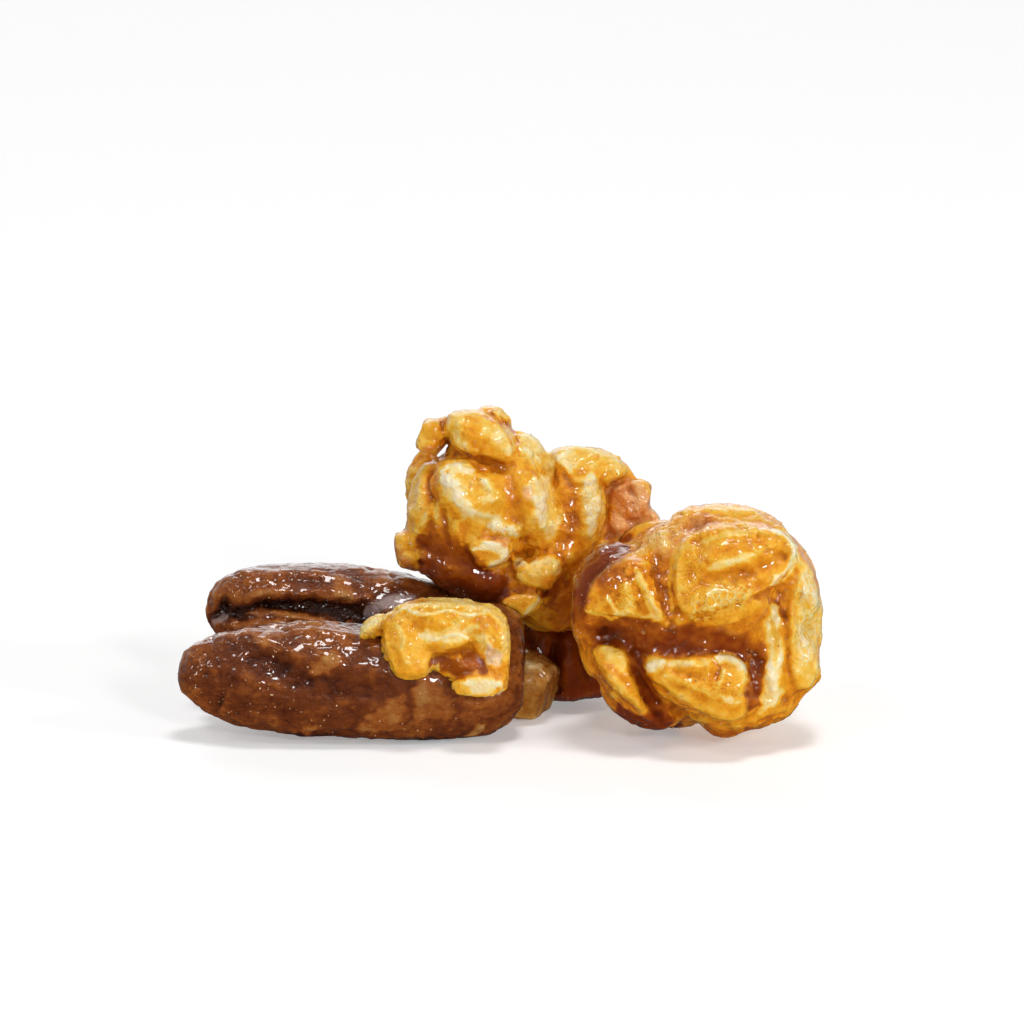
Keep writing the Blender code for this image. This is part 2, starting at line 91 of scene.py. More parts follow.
PECAN_HALF = (18.0, 5.9, 6.5)
PECAN_SIDE = 6.0
PECAN_BELLY = 5.0
PECAN_ROLL = math.radians(16)
PECAN_NOD = math.radians(4.2)
PECAN_BACK_NOD = math.radians(6.4)
PECAN_LEFT_END = 2.2
PECAN_RIGHT_END = 2.5
PECAN_TAPER = 0.01
PECAN_WORLD_CENTRE = (-15.2, 0.5, 7.2)
PECAN_RIGHT_KNOB = ((14.4, -1.0, 3.0), (4.0, 5.0, 5.0))
PECAN = {
    "centre": (-15.2, 8.55, 1.25),
    "strokes": {
        "main_groove": (((-15.0, 2.1), (-11.0, 2.9), (-6.0, 3.2), (-1.0, 2.6), (4.0, 1.6), (9.0, 0.6)), 1.0, -1.7),
        "second_groove": (((-12.4, -1.0), (-7.9, -2.5), (-5.3, -4.0), (-1.4, -4.8), (4.0, -5.6)), 1.9, -0.4),
        "crest": (((-12.4, 0.6), (-7.4, -0.6), (-1.4, -2.4), (4.0, -3.4)), 0.9, 0.5),
        "top_crest": (((-14.0, 1.5), (-9.0, 1.9), (-3.4, 1.4), (1.0, 0.4)), 0.6, 0.3),
        "back_fold": (((-13.4, 3.3), (-9.0, 4.3), (-3.0, 4.5), (3.0, 3.9)), 0.7, 0.3),
        "back_crease": (((-12.0, 5.0), (-7.0, 5.8), (-1.0, 5.6)), 0.6, -0.25),
        "left_dent": (((-15.2, -3.4), (-14.2, -5.0), (-12.4, -6.0)), 1.3, -0.4),
        "groove_flap": (((-11.6, 2.6), (-8.8, 2.8), (-5.6, 2.4), (-2.0, 1.8)), 0.4, 0.9),
    },
    "tone": {
        # The groove strokes are dark caramel in the main groove and also painted shade of its depth.
        "groove": (((-15.2, 2.1), (-11.0, 2.9), (-6.0, 3.1), (-1.0, 2.6), (3.0, 1.8)), 1.0, 0.14, 0.9),
        "groove_flap": (((-10.6, 2.7), (-8.0, 2.7), (-5.0, 2.3), (-1.6, 1.8)), 0.5, 0.6, 0.85),
        "groove_shine": (((-0.6, 2.4), (1.4, 3.2), (3.6, 4.2), (6.4, 4.9)), 0.9, 0.22, 0.9),
        # Painted shade along the soft second groove.
        "second_groove": (((-12.2, -1.1), (-7.9, -2.5), (-5.3, -4.0), (-1.4, -4.8), (2.0, -5.3)), 1.1, 0.27, 0.8),
        "left_dark": (((-13.6, -1.2), (-12.2, -2.6), (-12.6, -4.6)), 0.9, 0.26, 0.6),
        # Painted shade along the underside, where the lobe curves under.
        "bottom": (((-8.0, -10.2), (-2.0, -10.4), (4.0, -10.8), (11.0, -11.0)), 0.8, 0.06, 0.9),
        "tan_back": (((-1.4, 6.3), (-0.9, 5.3), (-0.1, 4.2)), 0.8, 0.68, 0.8),
        "back_dark": (((1.2, 5.6), (1.8, 4.6)), 0.9, 0.42, 0.85),
        "back_amber": (((2.8, 5.8), (5.0, 5.8), (9.0, 5.2)), 1.0, 0.56, 0.7),
        "back_left": (((-14.4, 4.4), (-11.0, 5.8), (-6.0, 6.0)), 1.2, 0.6, 0.6),
        "crest": (((-13.0, 1.0), (-9.0, 1.2), (-4.0, 0.6), (0.0, -0.4)), 1.0, 0.6, 0.6),
        "tan_front": (((-3.8, -3.2), (-2.4, -2.4), (-1.2, -1.6)), 0.8, 0.74, 0.7),
        "tan_crest": (((-9.6, 0.6), (-8.6, -0.2)), 0.6, 0.72, 0.7),
        "tan_low": (((1.4, -8.8), (3.4, -8.2), (4.4, -7.2), (5.2, -6.0)), 1.1, 0.72, 0.75),
        "tan_low_right": (((7.2, -4.6), (7.2, -6.4), (7.0, -8.0)), 0.8, 0.74, 0.7),
        "tan_tip": (((12.4, -9.6), (13.4, -8.8)), 0.5, 0.9, 0.8),
        "tan_left": (((-4.6, -9.4), (-3.6, -8.9)), 0.5, 0.8, 0.6),
        "right_amber": (((7.4, -4.0), (8.4, -5.8), (9.8, -7.4)), 1.5, 0.66, 0.8),
        "right_end": (((11.6, -6.0), (14.0, -6.4), (16.0, -4.6)), 1.6, 0.58, 0.6),
        "right_top": (((12.8, 3.6), (15.4, 2.6), (17.2, 0.2), (17.4, -2.4)), 1.0, 0.5, 0.8),
    },
    # The sheen strokes are a painted reflection: a pale grey colour where the glaze in the groove reflects light.
    "sheen": {
        "groove_left": (((-14.6, 1.3), (-13.8, 1.9), (-12.8, 2.4)), 0.35, 0.5, 1.0),
        "groove_right": (((1.4, 2.6), (3.2, 3.4), (6.0, 4.3)), 0.6, 0.8, 1.0),
    },
    "grains": {
        "crest": (((-9.6, 0.4), (-7.0, -0.2), (-4.6, 0.4)), 1.2, 0.9, 0.8),
        "groove": (((-1.0, 2.4), (0.6, 3.4)), 0.7, 1.0, 0.9),
        "back": (((-13.0, 5.4), (-9.0, 6.4), (-5.0, 6.2)), 1.0, 0.9, 0.8),
        "front": (((-12.0, -5.0), (-6.0, -6.4), (0.0, -7.6)), 2.0, 0.6, 0.7),
        "tip": (((-16.4, -2.0), (-15.4, -4.4)), 1.2, 0.9, 0.8),
    },
}

MUSHROOM = {
    "centre": (20.2, 10.9, 6.8),
    "blend": 0.8,
    "inset": 0.3,
    "step": 0.21,
    "seed": 11,
    "glaze": 0.46,
    "lobes": {
        "core": ((-0.2, 0.0, 0.0), (10.8, 10.4, 10.6), 0),
        "upper_petal": ((3.2, 5.3, 7.2), (6.6, 4.3, 3.9), 14),
        "cap": ((3.0, 9.1, 3.2), (6.2, 2.7, 5.2), -6),
        "cap_left_slope": ((-3.0, 6.7, 4.4), (4.5, 2.9, 4.4), 32),
        "left_petal": ((-6.6, 2.9, 6.4), (4.7, 3.8, 3.2), 38),
        "middle_petal": ((2.4, 1.2, 8.6), (4.8, 2.5, 2.9), 6),
        "lower_petal": ((0.4, -6.4, 6.9), (6.6, 3.7, 3.8), -20),
        "lower_left_lobe": ((-7.8, -5.8, 4.8), (2.4, 4.7, 3.4), 38),
        "right_upper_lobe": ((9.1, 3.5, 1.0), (3.3, 5.6, 5.4), 16),
        "right_lower_lobe": ((9.3, -5.2, 1.6), (3.2, 4.0, 4.8), -20),
        "bottom_lobe": ((4.6, -9.2, 1.6), (5.8, 2.7, 5.4), 6),
        "dark_dome": ((-9.8, 2.4, 2.6), (3.7, 5.8, 5.6), -20),
        "left_flap": ((-10.4, -3.8, 2.2), (2.0, 2.9, 3.2), 10),
        "bottom_left_lobe": ((-5.9, -8.4, 1.4), (4.8, 2.9, 4.6), -28),
        "drip": ((2.6, -10.8, 2.2), (2.2, 1.8, 2.2), 0),
        "right_bump": ((11.5, 0.4, 0.0), (1.5, 2.2, 2.4), 0),
        "right_middle_bump": ((11.5, -2.0, 0.2), (1.5, 2.0, 2.4), 0),
        "tail_fill": ((6.9, -5.6, 4.9), (2.6, 4.6, 3.2), -4),
        "side_fill": ((8.6, -1.2, 3.4), (2.4, 4.6, 4.0), 0),
        "right_low_bump": ((11.4, -6.0, 0.0), (1.4, 1.5, 1.8), 0),
        "back_upper_petal": ((-2.6, 5.2, -7.0), (6.2, 4.8, 4.0), -18),
        "back_lower_petal": ((3.4, -4.2, -7.2), (6.4, 4.6, 4.0), 24),
        "back_left_petal": ((-7.2, -2.4, -5.4), (3.8, 5.2, 4.4), 8),
        "back_right_petal": ((7.2, 3.8, -6.0), (3.8, 4.8, 3.8), -12),
        "back_foot": ((-2.4, -9.0, -3.4), (4.6, 2.8, 4.4), 0),
    },
    "patches": {
        "left_petal": (
            ((-11.7, 0.4), (-11.5, 1.9), (-10.4, 4.1), (-8.0, 5.8), (-5.3, 5.7), (-4.6, 3.4), (-3.7, 1.2),
            (-3.7, -0.3), (-5.3, -0.3), (-7.6, 0.1)), 0.5, 0.1
        ),
        "upper_petal": (
            ((-1.5, 0.3), (-2.7, 2.6), (-2.7, 5.0), (-1.9, 7.4), (-0.7, 8.8), (2.4, 9.5), (6.1, 9.2), (8.7, 8.5),
            (9.8, 7.3), (9.4, 5.6), (7.4, 3.2), (5.2, 2.1), (2.4, 1.2)), 0.6, 0.15
        ),
        "foam_petal": (
            ((-1.5, 0.2), (-1.2, 1.5), (0.2, 3.2), (2.8, 3.0), (5.0, 2.3), (6.1, 1.5), (5.0, 0.2), (2.4, -0.9),
            (0.6, -0.8)), 0.3, 0.1
        ),
        "lower_petal": (
            ((-5.4, -4.7), (-3.8, -4.0), (-1.2, -4.1), (2.1, -3.5), (4.3, -4.3), (5.0, -5.8), (4.3, -7.3),
            (5.0, -8.7), (4.3, -10.2), (2.1, -10.5), (-1.2, -8.9), (-3.6, -7.2), (-5.3, -6.0)), 0.55, 0.12
        ),
        "lower_left": (
            ((-10.6, -3.0), (-8.9, -2.7), (-7.4, -3.6), (-6.9, -5.6), (-5.8, -7.8), (-4.4, -10.2), (-5.5, -10.5),
            (-7.1, -8.6), (-9.1, -6.9), (-10.4, -4.9)), 0.45, 0.15
        ),
        "right_edge": (
            ((9.2, 7.2), (11.4, 5.0), (12.2, 2.4), (12.9, 0.4), (12.2, -1.8), (12.4, -4.5), (12.2, -6.6),
            (10.4, -7.6), (9.2, -5.6), (9.0, -2.0), (8.9, 1.0), (9.8, 4.1)), 0.3, 0.1
        ),
    },
    "strokes": {
        "belt": (
            ((-11.6, -1.1), (-8.6, -1.8), (-5.8, -2.6), (-2.3, -2.2), (0.6, -2.4), (3.4, -2.9),
            (5.7, -3.8)), 1.3, -0.45
        ),
        "belt_tail": (((5.7, -3.8), (5.8, -6.3), (5.3, -8.4)), 0.95, -0.25),
        "belt_fork": (((-6.7, -2.7), (-6.2, -4.5), (-5.8, -6.3), (-4.5, -8.7), (-3.8, -10.4)), 0.7, -0.65),
        "left_cleft": (((-4.2, 7.2), (-4.2, 4.1), (-3.2, 1.9), (-2.6, -1.2)), 0.75, -0.4),
        "cap_seam": (((5.0, 10.2), (1.7, 10.0), (-0.1, 9.6), (-2.1, 8.7), (-3.3, 6.9)), 0.7, -0.35),
        "petal_trough": (((-0.1, 4.3), (2.4, 4.3), (5.2, 4.8), (7.6, 6.1), (8.3, 7.0)), 0.7, -0.45),
        "petal_crest": (((0.6, 4.9), (2.6, 5.5), (5.0, 6.3), (6.4, 7.0)), 0.5, 0.3),
        "petal_top_fold": (((-1.4, 7.4), (1.2, 8.2), (4.0, 7.8), (7.4, 8.2)), 0.4, -0.25),
        "fan_rim": (((7.0, 8.9), (9.0, 8.2), (9.6, 6.6), (8.8, 4.8), (6.6, 3.1)), 0.55, 0.4),
        "side_crack": (((6.6, 2.3), (8.1, 1.0), (8.8, -0.7), (8.9, -3.2), (8.9, -6.0)), 0.35, -0.15),
        "pale_ridge": (((7.6, 1.0), (7.4, -1.4), (7.8, -3.6), (7.2, -6.3), (7.4, -8.0), (6.3, -9.8)), 0.9, 0.25),
        "left_rib_a": (((-9.5, 2.2), (-8.3, 0.2)), 0.28, 0.3),
        "left_rib_b": (((-6.2, 4.8), (-5.3, 2.6), (-4.0, 0.0)), 0.35, 0.4),
        "left_rib_c": (((-7.7, 3.6), (-7.4, 1.4)), 0.35, 0.25),
        "low_rib_a": (((-4.2, -5.2), (-1.8, -6.4), (1.2, -7.6), (4.2, -8.6)), 0.35, 0.35),
        "low_rib_b": (((-2.6, -7.6), (0.2, -8.9), (3.2, -9.9)), 0.35, 0.3),
        "low_hollow": (((-3.2, -5.6), (0.2, -5.8), (2.4, -5.4)), 0.7, -0.45),
        "fan_a": (((1.6, -7.4), (2.2, -6.2), (2.4, -5.2)), 0.3, 0.4),
        "fan_b": (((2.4, -7.6), (3.6, -7.2), (4.8, -7.3)), 0.3, 0.35),
        "diagonal_rib": (((-9.6, -5.2), (-7.6, -7.2), (-5.2, -9.6)), 0.35, 0.3),
        "right_rib_a": (((10.2, 6.0), (10.8, 3.2), (10.4, 0.6)), 0.45, 0.25),
        "right_rib_b": (((11.4, 3.6), (11.6, 1.2), (11.0, -1.2)), 0.4, 0.2),
        "right_rib_c": (((10.4, -1.6), (10.6, -4.0), (9.8, -6.2)), 0.5, 0.25),
        "bottom_rib": (((-3.0, -10.6), (0.4, -10.4), (3.6, -11.0), (6.6, -10.6)), 0.4, 0.25),
    },
    "paint": {
        # The left petal's deeper amber is partly its glaze and partly painted shade on the side turned from the
        # light.
        "left_petal_face": (((-9.6, 3.2), (-7.0, 3.8), (-5.6, 3.2), (-5.8, 1.2), (-8.6, 1.2)), 2.4, 0.62, 0.85),
        "upper_face": (((-1.0, 7.0), (2.4, 8.0), (6.0, 8.0), (7.2, 7.0)), 2.0, 0.46, 0.85),
        "dome": (((-12.8, 0.6), (-11.6, 4.6), (-9.8, 6.8), (-7.6, 7.8)), 1.9, 0.8, 1.0),
        "dome_low": (((-12.4, 1.8), (-11.9, -0.8)), 1.0, 0.76, 0.85),
        "belt_halo": (
            ((-11.6, -1.3), (-8.6, -2.0), (-5.8, -2.8), (-2.3, -2.5), (0.6, -2.6), (3.4, -3.1),
            (5.7, -4.0)), 1.9, 0.62, 0.7
        ),
        "belt": (((-11.6, -1.1), (-8.6, -1.6), (-5.8, -2.3), (-2.3, -2.1), (0.6, -2.4)), 1.4, 0.72, 1.0),
        "belt_right": (((-1.0, -2.3), (1.6, -2.5), (3.8, -3.1), (5.4, -3.8)), 1.3, 0.7, 0.95),
        "belt_end": (((4.2, -3.1), (5.8, -3.6), (6.3, -4.8)), 1.3, 0.66, 0.85),
        "belt_deep": (((-9.4, -1.8), (-6.4, -2.9), (-3.4, -3.2), (0.2, -3.1)), 0.6, 0.77, 0.6),
        "belt_tail": (((6.0, -4.4), (5.8, -6.15), (5.5, -7.8), (5.0, -8.7)), 1.15, 0.68, 0.95),
        "belt_fork": (((-6.7, -2.7), (-6.2, -4.5), (-5.8, -6.3), (-4.5, -8.7), (-3.4, -10.6)), 0.85, 0.68, 0.9),
        "left_cleft": (((-4.3, 7.0), (-4.3, 4.1), (-3.3, 1.9), (-2.9, -1.0)), 0.85, 0.52, 0.9),
        "cap_seam": (((5.0, 10.2), (1.7, 10.0), (-0.1, 9.6), (-2.1, 8.7), (-3.3, 6.9)), 0.7, 0.58, 0.7),
        "cap_left": (((-6.8, 6.4), (-5.0, 7.4), (-3.4, 8.4), (-1.6, 9.6)), 1.1, 0.36, 0.75),
        "cap": (((1.0, 11.0), (4.0, 10.6), (7.0, 9.8)), 0.8, 0.3, 0.8),
        "trough": (((-0.1, 4.2), (2.4, 4.2), (5.2, 4.8), (7.6, 6.1), (8.6, 7.4)), 0.85, 0.46, 0.9),
        "trough_streak": (((1.0, 4.9), (3.0, 5.6), (5.2, 6.4)), 0.4, 0.2, 0.75),
        "trough_high": (((1.0, 6.7), (3.4, 7.3), (6.0, 7.6)), 0.35, 0.52, 0.7),
        "trough_pale": (((0.0, 7.6), (2.6, 8.4), (5.6, 8.7)), 0.3, 0.22, 0.7),
        "fan_rim": (((7.4, 8.9), (9.3, 8.0), (9.7, 6.4), (8.9, 4.8), (7.0, 3.2)), 0.5, 0.1, 0.9),
        "side_crack": (((7.2, 2.0), (8.1, 1.0), (8.6, 0.0)), 0.3, 0.6, 0.85),
        "side_seam": (((8.9, -0.7), (9.1, -3.2), (9.2, -6.0)), 0.3, 0.46, 0.6),
        "pale_ridge": (
            ((7.6, 0.8), (7.4, -1.4), (7.8, -3.6), (7.3, -6.3), (7.4, -8.0), (6.3, -9.6)), 0.8, 0.12, 0.9
        ),
        "ridge_gold": (((7.2, -0.2), (7.8, -2.4), (7.6, -4.8)), 0.3, 0.36, 0.7),
        "lower_rim_left": (((-5.2, -5.2), (-4.6, -4.7), (-3.6, -4.5)), 0.7, 0.14, 0.85),
        "lower_rim": (((-3.4, -4.6), (-1.2, -4.7), (1.0, -4.3)), 0.4, 0.2, 0.8),
        "lower_rim_right": (((1.6, -4.0), (3.2, -4.2), (4.3, -5.2)), 0.6, 0.1, 0.85),
        "lower_gold": (((-2.6, -5.4), (-0.6, -5.8), (1.4, -5.4)), 0.6, 0.42, 0.8),
        "lower_fan": (((2.8, -6.2), (3.6, -6.0), (4.4, -6.4)), 0.7, 0.36, 0.8),
        "low_ribs": (((-3.6, -5.8), (-1.8, -6.5), (1.2, -7.7), (4.0, -8.6)), 0.3, 0.18, 0.85),
        "low_ribs_b": (((-2.4, -7.8), (0.2, -9.0), (3.0, -9.9)), 0.25, 0.24, 0.7),
        "fan_lines": (((1.7, -7.2), (2.2, -6.2), (2.4, -5.3)), 0.22, 0.18, 0.7),
        "lower_hollow": (((-3.0, -6.2), (0.6, -6.6), (2.6, -7.4)), 1.0, 0.5, 0.7),
        "lower_face": (((-2.6, -7.6), (0.4, -8.8), (3.0, -9.8)), 0.9, 0.42, 0.7),
        "bottom_face": (((-0.6, -10.6), (2.0, -11.0), (5.4, -10.2)), 0.9, 0.36, 0.7),
        "lower_left_tan": (((-9.8, -5.0), (-8.4, -7.0), (-6.2, -9.4)), 1.6, 0.55, 0.95),
        "lower_left_pale": (((-9.6, -3.3), (-8.4, -4.2), (-7.9, -5.2)), 0.9, 0.28, 0.85),
        "lower_left_rib": (((-9.2, -5.8), (-7.4, -7.6), (-5.4, -10.0)), 0.3, 0.32, 0.7),
        "lower_left_spot": (((-8.6, -7.2), (-7.9, -7.9)), 0.4, 0.24, 0.7),
        "belt_top": (((-11.4, -0.3), (-8.6, -0.35), (-5.8, -0.8), (-4.4, -1.1)), 0.6, 0.67, 0.85),
        "left_rim": (((-11.5, 0.7), (-9.6, 0.3), (-7.6, 0.35), (-5.6, 0.05), (-4.2, 0.1)), 0.2, 0.2, 0.8),
        "left_gold": (((-7.9, 1.8), (-7.2, 0.8), (-6.2, 0.4)), 0.7, 0.4, 0.8),
        "left_rib_b": (((-6.4, 4.8), (-5.6, 2.8), (-4.6, 0.6), (-4.0, -0.2)), 0.5, 0.24, 0.8),
        "left_rib_d": (((-7.6, 3.4), (-7.0, 1.6), (-6.6, 0.2)), 0.35, 0.3, 0.7),
        "left_rib_a": (((-9.5, 2.2), (-8.3, 0.2)), 0.22, 0.18, 0.7),
        "edge_rim": (((-2.7, 0.6), (-2.9, 2.8), (-2.9, 5.0), (-2.0, 7.6)), 0.28, 0.22, 0.7),
        # Painted shade along the underside of the bottom edge.
        "bottom_painted_shade": (((-7.8, -9.8), (-6.2, -10.6), (-4.4, -11.0), (-2.4, -10.8)), 1.2, 0.84, 0.95),
        "bottom_tan": (((-9.6, -8.4), (-8.4, -9.4)), 0.9, 0.6, 0.8),
        "bottom_amber": (((0.6, -11.4), (3.4, -12.0), (8.0, -10.6)), 0.7, 0.66, 0.7),
        "left_flap": (((-12.0, -1.6), (-11.4, -4.6), (-10.2, -7.4)), 0.9, 0.58, 0.6),
        # The pale right face is partly its thin glaze and partly painted light on the side turned to the light.
        "right_face": (((10.8, 5.0), (11.4, 1.0), (11.0, -3.0), (10.8, -6.4)), 1.5, 0.24, 0.8),
    },
    "foam": {
        "upper_low": (((-1.6, 1.2), (-1.4, 3.4), (-0.6, 5.4), (0.4, 7.4)), 1.1, 0.5, 1.0),
        "middle": (((-0.6, 0.2), (1.2, 1.6), (2.6, 2.2), (4.8, 2.8)), 1.4, 1.0, 1.0),
        "right": (((11.0, 4.0), (11.2, 0.0), (10.8, -4.0)), 1.4, 0.8, 1.0),
        "left": (((-8.6, 3.0), (-6.4, 1.4)), 1.8, 0.7, 1.0),
        "slope": (((-6.4, 7.0), (-4.4, 7.6), (-2.4, 8.6)), 1.2, 0.7, 1.0),
        "low": (((-1.0, -6.4), (2.0, -7.0), (3.4, -8.6)), 1.2, 0.6, 1.0),
    },
    "hull": {
        "seam": (((-0.1, 9.8), (-2.1, 8.9), (-3.3, 7.2), (-4.4, 6.6)), 1.0, 0.4, 1.0),
        "slope": (((-6.8, 6.6), (-4.8, 7.8), (-2.8, 9.0)), 1.0, 0.35, 1.0),
    },
    "grains": {
        "cleft": (((-4.6, 5.0), (-4.4, 3.0), (-3.8, 1.6)), 1.0, 1.0, 0.9),
        "slope": (((-6.6, 7.0), (-4.2, 8.0), (-2.2, 9.0)), 1.0, 1.0, 0.9),
        "left_edge": (((-11.6, -0.8), (-12.2, -2.4)), 0.8, 0.9, 0.8),
        "side": (((8.4, 1.6), (9.0, -0.6), (10.4, -2.6)), 0.9, 0.8, 0.8),
        "bottom": (((-3.2, -10.0), (-0.6, -10.6)), 0.8, 0.7, 0.8),
    },
    "bubbles": {
        "belt_middle": (((-3.0, -0.8), (-2.2, -1.6), (-1.6, -2.6)), 0.55, 1.0, 1.0),
        "belt_left": (((-6.4, -1.6), (-5.4, -1.4)), 0.3, 0.5, 1.0),
        "tail": (((5.3, -3.2), (5.8, -6.7)), 0.35, 0.5, 1.0),
    },
}

